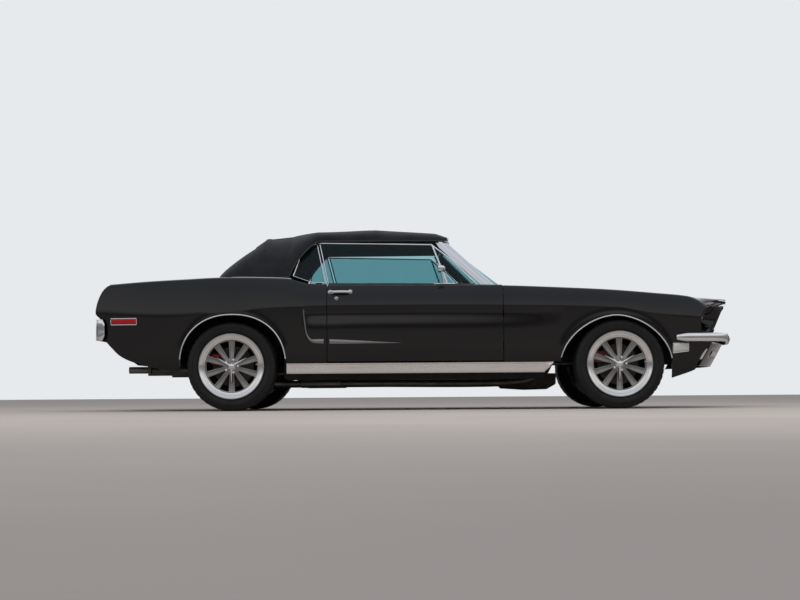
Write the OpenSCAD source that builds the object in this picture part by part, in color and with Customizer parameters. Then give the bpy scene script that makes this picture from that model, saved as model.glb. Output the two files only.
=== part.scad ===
// Two-door convertible muscle car with its soft top up.
// X runs forward, Y to the left and Z up; the origin is on the ground under the middle.

/* [Body] */
// Distance between the front and rear axles
wheelbase = 2743; // [2650:1:2850]
// Nose bumper to front axle
front_overhang = 932; // [900:1:960]
// Rear axle to tail bumper
rear_overhang = 988; // [960:1:1020]
// Widest point of the body sides
body_w = 1801; // [1785:1:1815]
// Height of the soft top above the ground
roof_z = 1318; // [1305:1:1335]
// Height of the door tops above the ground
belt_z = 893; // [885:1:900]
// Thickness of the steel outer panels with their folded rims
panel_t = 12; // [9:1:15]
// Gap between a moving panel and its neighbour
panel_gap = 7; // [6:0.5:9]

/* [Doors] */
// Front axle to the front edge of the door
door_behind_axle = 821; // [800:1:985]
// Rear axle to the rear edge of the door
door_before_axle = 683; // [600:1:760]
// Thickness of the door at its widest
door_t = 130; // [120:1:140]
// Lower edge of the doors above the ground
door_low_z = 345; // [330:1:380]
// Top edge of the side windows above the ground
window_z = 1212; // [1190:1:1240]

/* [Wheels] */
// Outer radius of a tyre
tyre_r = 317; // [310:1:322]
// Width of a tyre
tyre_w = 225; // [185:1:250]
// Radius of the rim where the tyre sits
rim_r = 219; // [190:1:240]
// Distance between the left and right wheel centres
track_w = 1486; // [1440:1:1520]
// Number of spokes in a wheel
spokes = 10; // [5:1:12]

/* [Interior] */
// Width of a front seat
seat_w = 500; // [410:1:540]
// Radius of the steering wheel rim
steer_r = 190; // [160:1:205]

/* [Hidden] */
$fn = 48;

half_len = (front_overhang + wheelbase + rear_overhang) / 2;
x_nose = half_len;
x_tail = -half_len;
x_fa = x_nose - front_overhang;
x_ra = x_fa - wheelbase;
half_w = body_w / 2;
axle_z = tyre_r;

// Small clearance of a piece from its seat
seat_gap = 0.3;
// Radial clearance of a running pin
pin_gap = 0.05;

black = "#15161a";
chrome = "#c8ccd0";
steel = "#4a4d52";
glass = "#5d8f97";
dark = "#26272a";

// ---- curves and lofts ----------------------------------------------------

function lerp(a, b, t) = a + (b - a) * t;
function clamp(v, lo, hi) = min(hi, max(lo, v));
function ease(t) = let (c = clamp(t, 0, 1)) c * c * (3 - 2 * c);

// Slope of a table of [x, value] pairs at entry i
function slope(t, i) =
    let (a = max(0, i - 1), b = min(len(t) - 1, i + 1))
    (t[b][1] - t[a][1]) / (t[b][0] - t[a][0]);

function span(t, x, i = 0) =
    i >= len(t) - 2 || x < t[i + 1][0] ? i : span(t, x, i + 1);

// Smooth curve through a table of [x, value] pairs, held level past its ends
function curve(t, x) =
    let (
        i = span(t, x),
        h = t[i + 1][0] - t[i][0],
        u = clamp((x - t[i][0]) / h, 0, 1),
        a = t[i][1],
        b = t[i + 1][1],
        ma = slope(t, i) * h,
        mb = slope(t, i + 1) * h
    )
    a + u * (ma + u * (3 * (b - a) - 2 * ma - mb + u * (2 * (a - b) + ma + mb)));

// Station along the car: -2 tail, -1 rear axle, 1 front axle, 2 nose
function at(s) =
    s < -1 ? lerp(x_ra, x_tail, -1 - s)
    : s < 1 ? lerp(x_ra, x_fa, (s + 1) / 2)
    : lerp(x_fa, x_nose, s - 1);

function total(v) = v * [for (x = v) 1];

// A polyhedron whose faces are turned outward, whichever way its points run
module solid(points, faces) {
    volume = total([
        for (f = faces, k = [1:len(f) - 2])
            points[f[0]] * cross(points[f[k]], points[f[k + 1]])
    ]);
    polyhedron(
        points,
        volume > 0 ? [for (f = faces) [for (i = [len(f) - 1:-1:0]) f[i]]] : faces
    );
}

// A closed solid between an outer and an inner grid of points of the same size.
// cut lists windows as [first row, last row, first column, last column] of cells.
function is_cut(cut, i, j) =
    len([for (c = cut) if (i >= c[0] && i <= c[1] && j >= c[2] && j <= c[3]) 1]) > 0;

module shell(outer, inner, cut = []) {
    rows = len(outer);
    cols = len(outer[0]);
    count = rows * cols;
    inside = function (i, j)
        i >= 0 && j >= 0 && i < rows - 1 && j < cols - 1 && !is_cut(cut, i, j);
    id = function (i, j, k) k * count + i * cols + j;
    quad = function (a, b, c, d) [[a, b, c], [a, c, d]];
    faces = [
        for (i = [0:rows - 2], j = [0:cols - 2]) if (inside(i, j)) each concat(
            quad(id(i, j, 0), id(i, j + 1, 0), id(i + 1, j + 1, 0), id(i + 1, j, 0)),
            quad(id(i, j, 1), id(i + 1, j, 1), id(i + 1, j + 1, 1), id(i, j + 1, 1)),
            inside(i - 1, j) ? []
                : quad(id(i, j, 0), id(i, j, 1), id(i, j + 1, 1), id(i, j + 1, 0)),
            inside(i + 1, j) ? []
                : quad(id(i + 1, j, 0), id(i + 1, j + 1, 0), id(i + 1, j + 1, 1), id(i + 1, j, 1)),
            inside(i, j - 1) ? []
                : quad(id(i, j, 0), id(i + 1, j, 0), id(i + 1, j, 1), id(i, j, 1)),
            inside(i, j + 1) ? []
                : quad(id(i, j + 1, 0), id(i, j + 1, 1), id(i + 1, j + 1, 1), id(i + 1, j + 1, 0))
        )
    ];
    solid(concat([for (r = outer) each r], [for (r = inner) each r]), faces);
}

// A closed bar through rings of points, each ring in the same order
module loft(rings) {
    n = len(rings[0]);
    last = len(rings) - 1;
    quad = function (a, b, c, d) [[a, b, c], [a, c, d]];
    sides = [
        for (i = [0:last - 1], j = [0:n - 1]) each quad(
            i * n + j, i * n + (j + 1) % n, (i + 1) * n + (j + 1) % n, (i + 1) * n + j)
    ];
    solid(
        [for (r = rings) each r],
        concat(
            [[for (j = [n - 1:-1:0]) j]],
            sides,
            [[for (j = [0:n - 1]) last * n + j]]
        )
    );
}

module box(x, y, z) {
    translate([x[0], y[0], z[0]]) cube([x[1] - x[0], y[1] - y[0], z[1] - z[0]]);
}

module both_sides() {
    children();
    mirror([0, 1, 0]) children();
}

// A round bar along Y
module rod_y(x, y, z, r) {
    translate([x, y[0], z]) rotate([-90, 0, 0]) cylinder(r = r, h = y[1] - y[0]);
}

// A round bar along X
module rod_x(x, y, z, r) {
    translate([x[0], y, z]) rotate([0, 90, 0]) cylinder(r = r, h = x[1] - x[0]);
}

// ---- body surface ---------------------------------------------------------

door_front_x = x_fa - door_behind_axle;
door_rear_x = x_ra + door_before_axle;
ridge_z = 470;
rocker_low_z = 215;
rocker_top_z = door_low_z - panel_gap - 1;
sill_low_in = 62;
ridge_in = 20;
hood_rear_x = door_front_x + 166;
arch_front_a = tyre_r + 79;
arch_front_b = tyre_r + 25;
arch_rear_a = tyre_r + 61;
arch_rear_b = tyre_r + 47;
arch_front_x = x_fa - 22;
arch_rear_x = x_ra + 9;
arch_front_n = 1.8;
arch_rear_n = 2.2;
flare_h = 6;
flare_w = 32;

// Height of the widest line of the side
function crease_z(x) = belt_z + curve([
    [at(-2), -195], [at(-1.45), -222], [at(-1), -190], [at(-0.6), -160],
    [at(0.4), -161], [at(1), -180], [at(1.25), -225], [at(1.6), -253]
], x);

// Height of the top edge of the side
function shoulder_z(x) = belt_z + curve([
    [at(-1.89), 16], [at(-1.62), 35], [at(-1.31), 50], [at(-1.08), 57],
    [at(-0.71), 45], [at(-0.655), 26], [at(-0.6), 7], [at(-0.5), 3], [at(-0.17), 0],
    [at(0.4), -9], [at(0.715), -27], [at(0.953), -45], [at(1.28), -72],
    [at(1.525), -96], [at(1.6), -123], [at(1.67), -169]
], x);

// Half width along the widest line
function side_w(x) = half_w * curve([
    [at(-2), 0.9], [at(-1.89), 0.918], [at(-1.6), 0.955], [at(-1), 0.992],
    [at(-0.5), 0.988], [at(0), 0.983], [at(0.4), 0.98], [at(1), 0.973],
    [at(1.4), 0.955], [at(1.62), 0.93], [at(2), 0.87]
], x);

// How far the top edge leans in from the widest line
function shoulder_in(x) = curve([
    [at(-2), 40], [at(-1.6), 60], [at(-1), 80], [at(-0.5), 74], [at(0.4), 68],
    [at(1), 60], [at(1.4), 55], [at(1.67), 38]
], x);

// Depth of the hollow below the widest line
function cove(x) = curve([
    [at(-0.68), 0], [at(-0.62), 16], [at(-0.3), 14], [at(0.4), 7], [at(0.7), 0]
], x);

function ring_gap(x, z, xc, a, b) =
    (sqrt(pow((x - xc) / a, 2) + pow((z - axle_z) / b, 2)) - 1) * a;

function flare(x, z) =
    let (
        d1 = ring_gap(x, z, arch_front_x, arch_front_a, arch_front_b),
        d2 = ring_gap(x, z, arch_rear_x, arch_rear_a, arch_rear_b)
    )
    flare_h * (exp(-pow(d1 / flare_w, 2)) + exp(-pow(d2 / flare_w, 2)));

function side_y(x, z) =
    let (w = side_w(x), zc = crease_z(x), zs = shoulder_z(x))
    flare(x, z) + (
        z > zc
        ? let (t = (z - zc) / (zs - zc)) w - shoulder_in(x) * t * (0.3 + 0.7 * t)
        : z > ridge_z
        ? let (t = (z - ridge_z) / (zc - ridge_z)) w - ridge_in * (1 - t) - cove(x) * sin(180 * t)
        : w - ridge_in - sill_low_in * pow((ridge_z - z) / (ridge_z - rocker_low_z), 1.6)
    );

// Half width of the hood, and the height of its side edge
function hood_half(x) = half_w - curve([
    [at(0.5), 198], [at(1), 211], [at(1.5), 232], [at(1.85), 272]
], x);

function hood_edge_z(x) = belt_z + curve([
    [at(0.4), -22], [at(0.953), -52], [at(1.28), -79], [at(1.525), -97],
    [at(1.75), -112], [at(1.93), -127]
], x);

hood_crown = 27;
function hood_z(x, y) =
    hood_edge_z(x) + hood_crown * (1 - pow(y / hood_half(x), 2));

// Height of the bottom edge of the arches and lower sides
function arch_z(x, xc, a, b, n) =
    abs(x - xc) < a ? axle_z + b * pow(1 - pow(abs(x - xc) / a, n), 1 / n) : 0;

function fender_low(x) = max(
    arch_z(x, arch_front_x, arch_front_a, arch_front_b, arch_front_n),
    x < x_fa ? rocker_top_z + seat_gap
        : curve([[arch_front_x + arch_front_a, 215], [x_nose - 418, 262], [x_nose - 360, 292]], x)
);

function quarter_low(x) = max(
    arch_z(x, arch_rear_x, arch_rear_a, arch_rear_b, arch_rear_n),
    x > x_ra ? rocker_top_z + seat_gap
        : curve([
            [x_tail + 79, 512], [x_tail + 132, 452], [x_tail + 196, 392],
            [x_tail + 303, 345], [x_tail + 533, 290], [arch_rear_x - arch_rear_a, 282]
        ], x)
);

// ---- outer panels ---------------------------------------------------------

side_rows = 9;
top_rows = 4;
shelf_z = 770;

// Offsets the rows of a panel inward by its thickness: side, top, then inner flange
function inward(p, j, t) =
    j < side_rows ? [p[0], p[1] - t, p[2]]
    : j == side_rows ? [p[0], p[1] - t, p[2] - t]
    : j < side_rows + top_rows ? [p[0], p[1], p[2] - t]
    : j == side_rows + top_rows ? [p[0], p[1] + t, p[2] - t]
    : [p[0], p[1] + t, p[2]];

arch_steps = [for (a = [0:15:180]) a];

// Front end of the fender: the rim of the headlight recess, then the brow
function fender_front(j) =
    j <= side_rows
    ? x_nose + curve([
        [0, -392], [0.22, -338], [0.42, -268], [0.54, -344], [0.61, -353], [0.79, -350], [1, -307]
    ], j / side_rows)
    : lerp(x_nose - 307, x_nose - 142, pow(min(1, (j - side_rows) / top_rows), 0.8));

function fender_xs(j) =
    let (
        back = door_front_x + panel_gap,
        a = arch_front_a,
        xc = arch_front_x,
        front = fender_front(j)
    )
    concat(
        [for (i = [0:4]) lerp(back, xc - a - 1, i / 5)],
        [for (s = arch_steps) xc - a * cos(s)],
        [for (i = [0:3]) lerp(xc + a + 1, front, i / 3)]
    );

function fender_point(x, j) =
    let (
        zs = shoulder_z(x),
        in_y = hood_half(x) + panel_gap,
        v = (j - side_rows) / top_rows
    )
    j <= side_rows
    ? let (z = lerp(fender_low(x), zs, j / side_rows)) [x, side_y(x, z), z]
    : j <= side_rows + top_rows
    ? [x, lerp(side_y(x, zs), in_y, v), lerp(zs, hood_edge_z(x), sin(90 * v))]
    : [x, in_y, min(shelf_z + seat_gap, hood_edge_z(x) - 45)];

module front_fender() {
    rows = [
        for (j = [0:side_rows + top_rows + 1])
            [for (x = fender_xs(j)) fender_point(x, j)]
    ];
    inner = [
        for (j = [0:len(rows) - 1]) [for (p = rows[j]) inward(p, j, panel_t)]
    ];
    color(black) shell(rows, inner);
}

// Soft top outline: half width, foot, crown and lean of its cross sections
back_x = x_ra - 177;
bow_x = x_ra + 215;
quarter_glass_x = x_ra + 400;
window_end_x = x_ra + 603;
header_x = door_front_x - 382;
fold_len = 270;

function top_half(x) =
    x > back_x + fold_len
    ? half_w - curve([
        [quarter_glass_x, 165], [window_end_x - 60, 230], [window_end_x, 280],
        [window_end_x + 300, 292], [header_x, 322]
    ], x)
    : (half_w - 165) * pow(1 - pow((back_x + fold_len - x) / fold_len, 2.5), 0.4);

top_foot_z = belt_z + 60;
function top_foot(x) = curve([
    [quarter_glass_x, top_foot_z], [quarter_glass_x + 40, top_foot_z + 90],
    [window_end_x - 60, window_z - 40], [window_end_x, window_z + 10]
], x);

function top_crown(x) = curve([
    [back_x, top_foot_z + 18], [bow_x - 20, roof_z - 66], [bow_x + 30, roof_z - 52],
    [bow_x + 220, roof_z - 26], [bow_x + 600, roof_z - 4], [bow_x + 800, roof_z],
    [header_x - 100, roof_z - 22], [header_x, roof_z - 52]
], x);

function top_lean(x) = curve([[quarter_glass_x - 60, 110], [window_end_x, 10]], x);

function top_point(x, a, off = 0) =
    let (
        foot = top_foot(x),
        crown = top_crown(x) - off,
        z = foot + (crown - foot) * pow(abs(sin(a)), 2 / 3),
        y = sign(cos(a)) * (top_half(x) - off) * pow(abs(cos(a)), 2 / 3),
        lean = top_lean(x) * (z - foot) / (roof_z - top_foot_z)
    )
    [x, y * (1 - lean / (half_w - 165)), z];

// Inner edge of the quarter panels beside the cabin, filler and trunk lid
function quarter_in(x) =
    x > quarter_glass_x + 20 ? glass_y(shoulder_z(x)) + 4
    : half_w - lookup(x, [
        [x_tail + 60, 288], [lid_front_x, 279], [arch_rear_x, 158],
        [quarter_glass_x - 60, 158], [quarter_glass_x + 20, 136]
    ]);

function quarter_rear(j) =
    j <= side_rows
    ? x_tail + lookup(j / side_rows, [
        [0, 90], [0.22, 66], [0.34, 60], [0.45, 18], [0.56, 19], [0.67, 28], [0.78, 43],
        [0.89, 66], [1, 110]
    ])
    : x_tail + 110;

function quarter_xs(j) =
    let (
        front = door_rear_x - panel_gap,
        a = arch_rear_a,
        xc = arch_rear_x,
        rear = quarter_rear(j)
    )
    concat(
        [for (i = [0:6]) lerp(rear, xc - a - 1, i / 6)],
        [for (s = arch_steps) xc - a * cos(s)],
        [for (i = [0:5]) lerp(xc + a + 1, front, i / 5)]
    );

function quarter_point(x, j) =
    let (
        zs = shoulder_z(x),
        v = (j - side_rows) / top_rows
    )
    j <= side_rows
    ? let (z = lerp(quarter_low(x), zs, j / side_rows)) [x, side_y(x, z), z]
    : j <= side_rows + top_rows
    ? [x, lerp(side_y(x, zs), quarter_in(x), v), zs + 4 * sin(180 * v) - 4 * v]
    : [x, quarter_in(x), zs - 40];

module quarter_panel() {
    rows = [
        for (j = [0:side_rows + top_rows + 1])
            [for (x = quarter_xs(j)) quarter_point(x, j)]
    ];
    inner = [
        for (j = [0:len(rows) - 1]) [for (p = rows[j]) inward(p, j, panel_t)]
    ];
    color(black) shell(rows, inner);
}

// Height of the rear deck
function deck_z(x, y) = shoulder_z(x) - 4 + 16 * (1 - pow(y / (half_w - 280), 2));

lid_front_x = arch_rear_x - arch_rear_a * cos(30);
lid_rear_x = x_tail + 112;

// Panel between the soft top and the trunk lid
function filler_front(v) =
    let (y = abs(v) * (half_w - 180))
    back_x + fold_len - fold_len * pow(1 - pow(min(1, y / (half_w - 165)), 2.5), 0.4) - 6;

module deck_filler() {
    steps = [for (i = [-10:10]) i / 10];
    rear = lid_front_x + panel_gap;
    point = function (u, v)
        let (
            x0 = filler_front(v),
            x = lerp(x0, rear, u),
            edge = quarter_in(x) - 0.6,
            y = v * edge
        )
        [x, y, deck_z(x, y)];
    outer = [for (u = [0:0.25:1]) [for (v = steps) point(u, v)]];
    inner = [for (r = outer) [for (p = r) p - [0, 0, panel_t]]];
    color(black) shell(outer, inner);
}

// ---- doors ------------------------------------------------------------------

hinge_ahead = 60;
hinge_in = 52;
hinge_x = door_front_x + hinge_ahead;
hinge_y = side_w(hinge_x) - hinge_in;
hinge_heights = [ridge_z - 20, ridge_z + 210];
hinge_h = 36;
hinge_pin_r = 6;
strap_t = 12;
strap_reach = 55;
door_in_y = side_w(hinge_x) - door_t;

module door_hinge_straps() {
    for (z = hinge_heights) translate([hinge_x, hinge_y, z - hinge_h / 2])
        difference() {
            union() {
                cylinder(r = hinge_pin_r + 5, h = hinge_h);
                translate([-5, -strap_reach, 0]) cube([strap_t, strap_reach, hinge_h]);
                translate([-hinge_ahead - 80, -strap_reach - strap_t, 0])
                    cube([hinge_ahead + 75 + strap_t, strap_t + 1, hinge_h]);
            }
            translate([0, 0, -1]) cylinder(r = hinge_pin_r + pin_gap, h = hinge_h + 2);
        }
}

module door() {
    steps = [for (i = [0:12]) i / 12];
    rows = [for (j = [0:9]) [
        for (u = steps)
            let (
                x = lerp(door_rear_x, door_front_x, u),
                z = lerp(door_low_z, shoulder_z(x), j / 9)
            )
            [x, side_y(x, z), z]
    ]];
    inner = [for (j = [0:9]) [
        for (u = steps)
            let (x = lerp(door_rear_x + 12, door_front_x - 70, u))
            [x, door_in_y, rows[j][u * 12][2]]
    ]];
    color(black) {
        shell(rows, inner);
        door_hinge_straps();
    }
}

// Side glass leans in from the belt to the roof rail
function glass_y(z) = half_w - 115 - (z - belt_z) * 0.56;
glass_t = 5;

module slanted_pane(outline) {
    loft([
        [for (p = outline) [p[0], glass_y(p[1]), p[1]]],
        [for (p = outline) [p[0], glass_y(p[1]) - glass_t, p[1]]]
    ]);
}

module door_glass() {
    low = belt_z + 9;
    color(glass) slanted_pane([
        [door_rear_x - 8, low], [window_end_x, window_z - 4],
        [door_front_x - 509, window_z - 22], [door_front_x - 190, low]
    ]);
    color(black) {
        seal = [
            for (i = [0:10])
                let (x = lerp(door_rear_x, door_front_x, i / 12), z = shoulder_z(x) + 0.7)
                [for (y = [[7, low - seat_gap], [7, z], [-17, z], [-17, low - seat_gap]])
                    [x, glass_y(belt_z) + y[0], y[1]]]
        ];
        loft(seal);
    }
}

// Door mirror on a post at the front of the door top
mirror_x = door_front_x - 409;

module door_mirror() {
    foot_z = shoulder_z(mirror_x) + seat_gap;
    y = glass_y(belt_z) + 18;
    color(chrome) {
        translate([mirror_x, y, foot_z]) cylinder(r = 8, h = 95);
        translate([mirror_x - 38, y - 14, foot_z + 84]) cube([46, 106, 52]);
    }
}

// ---- hood and trunk lid -------------------------------------------------------

lid_hinge_ahead = 100;
lid_hinge_drop = 60;
arm_t = 12;
arm_y = [half_w - 276, half_w - 276 + arm_t];
arm_pin_r = 8;
hood_hinge = [hood_rear_x - lid_hinge_ahead, hood_edge_z(hood_rear_x) - lid_hinge_drop];
deck_arm_y = [half_w - 352, half_w - 352 + arm_t];
deck_hinge = [lid_front_x + lid_hinge_ahead, shoulder_z(lid_front_x) - lid_hinge_drop];

// Curved arm from a pin at the origin, under the gap, up to a panel in direction -X
module gooseneck(top) {
    difference() {
        union() {
            rotate([-90, 0, 0]) cylinder(r = arm_pin_r + 8, h = arm_t);
            rotate([90, 0, 0]) translate([0, 0, -arm_t]) linear_extrude(arm_t) polygon([
                [-9, 0], [9, 0], [9, -72], [-112, -92], [-160, -30], [-160, top],
                [-142, top], [-142, -26], [-106, -70], [-9, -56]
            ]);
        }
        translate([0, -1, 0]) rotate([-90, 0, 0])
            cylinder(r = arm_pin_r + pin_gap, h = arm_t + 2);
    }
}

// Front edge of the hood in plan
function nose_x(y) = x_nose - 64 - 78 * pow(min(1, abs(y) / (half_w - 280)), 2.2);

module hood() {
    point = function (u, v)
        let (
            y0 = v * hood_half(x_fa),
            front = nose_x(y0),
            x = lerp(hood_rear_x, front, u),
            y = v * hood_half(x)
        )
        [x, y, hood_z(x, y) - 10 * pow(u, 8)];
    outer = [for (u = [0:1 / 12:1.001]) [for (v = [-1:0.125:1]) point(min(1, u), v)]];
    inner = [for (r = outer) [for (p = r) p - [0, 0, panel_t]]];
    color(black) {
        shell(inner, outer);
        both_sides() translate([hood_hinge[0], arm_y[0], hood_hinge[1]]) mirror([1, 0, 0])
            gooseneck(hood_z(hood_hinge[0] + 151, arm_y[0]) - hood_hinge[1] - panel_t + 3);
    }
}

module decklid() {
    point = function (u, v)
        let (
            x = lerp(lid_front_x, lid_rear_x - 12, min(1, u * 1.08)),
            y = v * (quarter_in(x) - panel_gap)
        )
        u < 0.93 ? [x, y, deck_z(x, y)] : [x - 14, y, deck_z(x, y) - (u > 0.97 ? 42 : 8)];
    us = [0, 0.12, 0.24, 0.36, 0.48, 0.6, 0.72, 0.84, 0.92, 0.95, 1];
    outer = [for (u = us) [for (v = [-1:0.125:1]) point(u, v)]];
    inner = [
        for (r = outer) [for (p = r) p + [p[0] < lid_rear_x - 13 ? panel_t : 0, 0, -panel_t]]
    ];
    color(black) {
        shell(outer, inner);
        both_sides() translate([deck_hinge[0], deck_arm_y[0], deck_hinge[1]])
            gooseneck(deck_z(deck_hinge[0] - 151, deck_arm_y[0]) - deck_hinge[1] - panel_t + 3);
    }
}

// ---- cowl, glass frame and soft top --------------------------------------------

function screen_foot_x(v) = door_front_x + 61 - 140 * pow(abs(v), 2.2);
screen_foot_z = shoulder_z(door_front_x);
screen_foot_y = half_w - 212;
screen_head_y = half_w - 338;
function screen_head_x(v) = header_x + 4 - 46 * pow(abs(v), 2.2);
screen_head_z = roof_z - 100;

module cowl_panel() {
    half = hood_half(hood_rear_x) - 2;
    point = function (u, v)
        let (
            x = lerp(screen_foot_x(v) + 8, hood_rear_x - panel_gap - 1, u),
            y = v * half
        )
        [x, y, hood_z(hood_rear_x, y) - 6];
    outer = [for (u = [0:0.25:1]) [for (v = [-1:0.125:1]) point(u, v)]];
    inner = [for (r = outer) [for (p = r) p - [0, 0, panel_t]]];
    color(black) shell(inner, outer);
}

// Side edge of the windshield, from its foot at 0 to its head at 1
function screen_edge(u) = [
    lerp(screen_foot_x(1), screen_head_x(1), u),
    lerp(screen_foot_y, screen_head_y, u),
    lerp(screen_foot_z + 6, screen_head_z, u)
];

module windshield() {
    glass_pt = function (u, v, off)
        [
            lerp(screen_foot_x(v), screen_head_x(v), u) + off,
            v * lerp(screen_foot_y, screen_head_y, u),
            lerp(screen_foot_z + 6, screen_head_z, u)
        ];
    vs = [for (i = [-10:10]) i / 10];
    color(glass) shell(
        [for (u = [0:0.25:1]) [for (v = vs) glass_pt(u, v, 0)]],
        [for (u = [0:0.25:1]) [for (v = vs) glass_pt(u, v, -7)]]
    );
}

// Height of the underside of the soft top over the windshield header
function header_top(x, y) =
    let (foot = top_foot(header_x), t = min(1, (abs(y) + 14) / (top_half(header_x) - top_t)))
    foot - 0.5 + (top_crown(x) - top_t - foot - 4) * pow(1 - pow(t, 3), 1 / 3);

module windshield_frame() {
    pillar = function (u, w)
        let (p = screen_edge(u) + [0, seat_gap, 0])
        [p + [22, 0, 0], p - [26, 0, 0], p + [-26, w, 0], p + [6, w, 0]];
    pillar_u = function (z) (z - screen_foot_z - 6) / (screen_head_z - screen_foot_z - 6);
    rail = function (v)
        let (
            x = screen_head_x(v),
            y = v * (screen_head_y - 4),
            low = screen_head_z + seat_gap
        )
        [
            [x + 16, y, low], [x + 16, y, header_top(x + 16, y)],
            [x - 30, y, header_top(x - 30, y)], [x - 30, y, low]
        ];
    half = [0.3, 0.5, 0.7, 0.86, 0.94, 1];
    color(chrome) {
        both_sides() loft([
            pillar(pillar_u(screen_foot_z - 20), 34),
            pillar(pillar_u(top_foot(header_x) - 0.5), 24)
        ]);
        loft([for (v = concat([for (i = [5:-1:0]) -half[i]], [0], half)) rail(v)]);
    }
}

top_t = 16;
top_angles = [for (a = [0:10:180]) a];
top_xs = concat(
    [for (i = [0:5]) lerp(back_x + 12, bow_x - 20, i / 6)],
    [bow_x - 20, bow_x + 30],
    [for (i = [1:4]) lerp(bow_x + 30, window_end_x, i / 5)],
    [for (i = [0:5]) lerp(window_end_x, header_x - 100, i / 5)],
    [for (i = [1:4]) header_x - 100 + 30 * i]
);

module soft_top() {
    rows = [for (x = top_xs) [for (a = top_angles) top_point(x, a)]];
    inner = [for (x = top_xs) [for (a = top_angles) top_point(x, a, top_t)]];
    color(dark) shell(rows, inner, [[1, 4, 5, 12]]);
}

quarter_glass_z = belt_z + 15;

module rear_windows() {
    rows = [1, 2, 3, 4, 5];
    cols = [5, 6, 7, 8, 9, 10, 11, 12, 13];
    pane = function (off)
        [for (i = rows) [for (j = cols) top_point(top_xs[i], top_angles[j], off)]];
    color(glass) {
        shell(pane(top_t + seat_gap), pane(top_t + seat_gap + 4));
        both_sides() slanted_pane([
            [quarter_glass_x + 26, top_foot_z + 10], [quarter_glass_x + 70, window_z - 108],
            [quarter_glass_x + 125, window_z - 40], [window_end_x - 30, window_z - 6],
            [window_end_x - panel_gap, window_z - 6],
            [door_rear_x - 8 - panel_gap, quarter_glass_z],
            [quarter_glass_x + 170, quarter_glass_z]
        ]);
    }
}

// ---- nose and tail ---------------------------------------------------------------

lamp_z = axle_z + 320;
lamp_y = half_w - 176;
lamp_r = 85;
lamp_x = x_nose - 350;
nose_low_z = lamp_z - 92;
nose_in_y = half_w - 285;

// Plan line of the nose: across the grille, then swept back past the headlights
function nose_front_x(y) =
    abs(y) < nose_in_y ? x_nose - 92 - 60 * pow(abs(y) / nose_in_y, 2)
    : lerp(x_nose - 152, x_nose - 322, (abs(y) - nose_in_y) / (half_w - 68 - nose_in_y));

module nose_panel() {
    out_y = side_w(x_nose - 330) - panel_t - 44;
    cheek = [for (i = [0:5]) lerp(nose_in_y, out_y, i / 5)];
    point = function (y, z) [nose_front_x(y) - 26 * (1 - (z - nose_low_z) / 180), y, z];
    top_z = function (y) lamp_z + lerp(86, 60, (y - nose_in_y) / (out_y - nose_in_y));
    depth = [46, 0, 0];
    color(black) {
        both_sides() difference() {
            union() {
                cheek_grid = [
                    for (z = [0:0.25:1])
                        [for (y = cheek) point(y, lerp(nose_low_z, top_z(y), z))]
                ];
                shell([for (r = cheek_grid) [for (p = r) p - depth]], cheek_grid);
                rod_x([lamp_x - 60, lamp_x + 26], lamp_y, lamp_z, lamp_r + 7);
            }
            rod_x([lamp_x - 44, x_nose], lamp_y, lamp_z, lamp_r + 2);
        }
        across = [for (v = [-1:0.125:1]) v * (nose_in_y + 2)];
        both_sides() box([rail_front_x + wall_t + seat_gap, x_nose - 180],
            [rail_y[0] + 20, rail_y[0] + 40], [nose_low_z + 2, nose_low_z + 16]);
        for (z = [nose_low_z, lamp_z + 62]) loft([
            for (y = across) [
                point(y, z + 18), point(y, z), point(y, z) - depth, point(y, z + 18) - depth
            ]
        ]);
    }
}

module grille() {
    across = [for (v = [-1:0.125:1]) v * (nose_in_y - 1)];
    low = nose_low_z + 18 + seat_gap;
    high = lamp_z + 62 - seat_gap;
    color(steel) loft([
        for (y = across)
            let (x = nose_front_x(y) - 44)
            [[x + 4, y, high], [x - 12, y, low], [x - 20, y, low], [x - 4, y, high]]
    ]);
}

module headlights() {
    color(glass) both_sides() {
        rod_x([lamp_x - 44 + seat_gap, lamp_x - 14], lamp_y, lamp_z, lamp_r);
        translate([lamp_x - 14, lamp_y, lamp_z]) rotate([0, 90, 0])
            cylinder(r1 = lamp_r, r2 = lamp_r - 40, h = 14);
    }
}

module front_valance() {
    across = [for (v = [-1:0.1:1.001]) v];
    color(black) loft([
        for (v = across)
            let (
                y = v * (half_w - 140),
                x = x_nose - 92 - 180 * pow(abs(v), 2.6)
            )
            [[x, y, 462], [x - 90, y, 300], [x - 104, y, 300], [x - 14, y, 462]]
    ]);
    color(steel) both_sides()
        box([rail_front_x + wall_t + seat_gap, x_nose - 186], [378, 402], [360, 380]);
}

// Plan lines of the bumpers: distance behind the tip, and half width
front_bumper_y = side_w(x_nose - 500) + 22;
front_bumper_line = [
    [-534, front_bumper_y - 8], [-430, front_bumper_y], [-310, front_bumper_y - 3],
    [-225, front_bumper_y - 25], [-165, front_bumper_y - 68], [-118, front_bumper_y - 140],
    [-82, front_bumper_y - 240], [-52, 0.55 * front_bumper_y], [-18, 0.3 * front_bumper_y],
    [0, 0]
];
rear_bumper_y = side_w(x_tail + 150) + 24;
rear_bumper_line = [
    [-88, rear_bumper_y], [-66, rear_bumper_y - 2], [-46, rear_bumper_y - 12],
    [-32, rear_bumper_y - 30], [-26, rear_bumper_y - 52], [-20, 0.7 * rear_bumper_y],
    [-8, 0.35 * rear_bumper_y], [0, 0]
];

module bumper_blade(line, low, high, t) {
    flip = [for (i = [len(line) - 2:-1:0]) [line[i][0], -line[i][1]]];
    full = concat(line, flip);
    loft([
        for (p = full)
            let (f = [p[0], p[1], 0], d = p[1] / (half_w * 1.15))
            [
                f + [-6, -6 * sign(d), high], f + [0, 0, (low + high) / 2],
                f + [-6, -6 * sign(d), low],
                f + [-t, -t * sign(d) * pow(abs(d), 2), low],
                f + [-t, -t * sign(d) * pow(abs(d), 2), high]
            ]
    ]);
}

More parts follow.
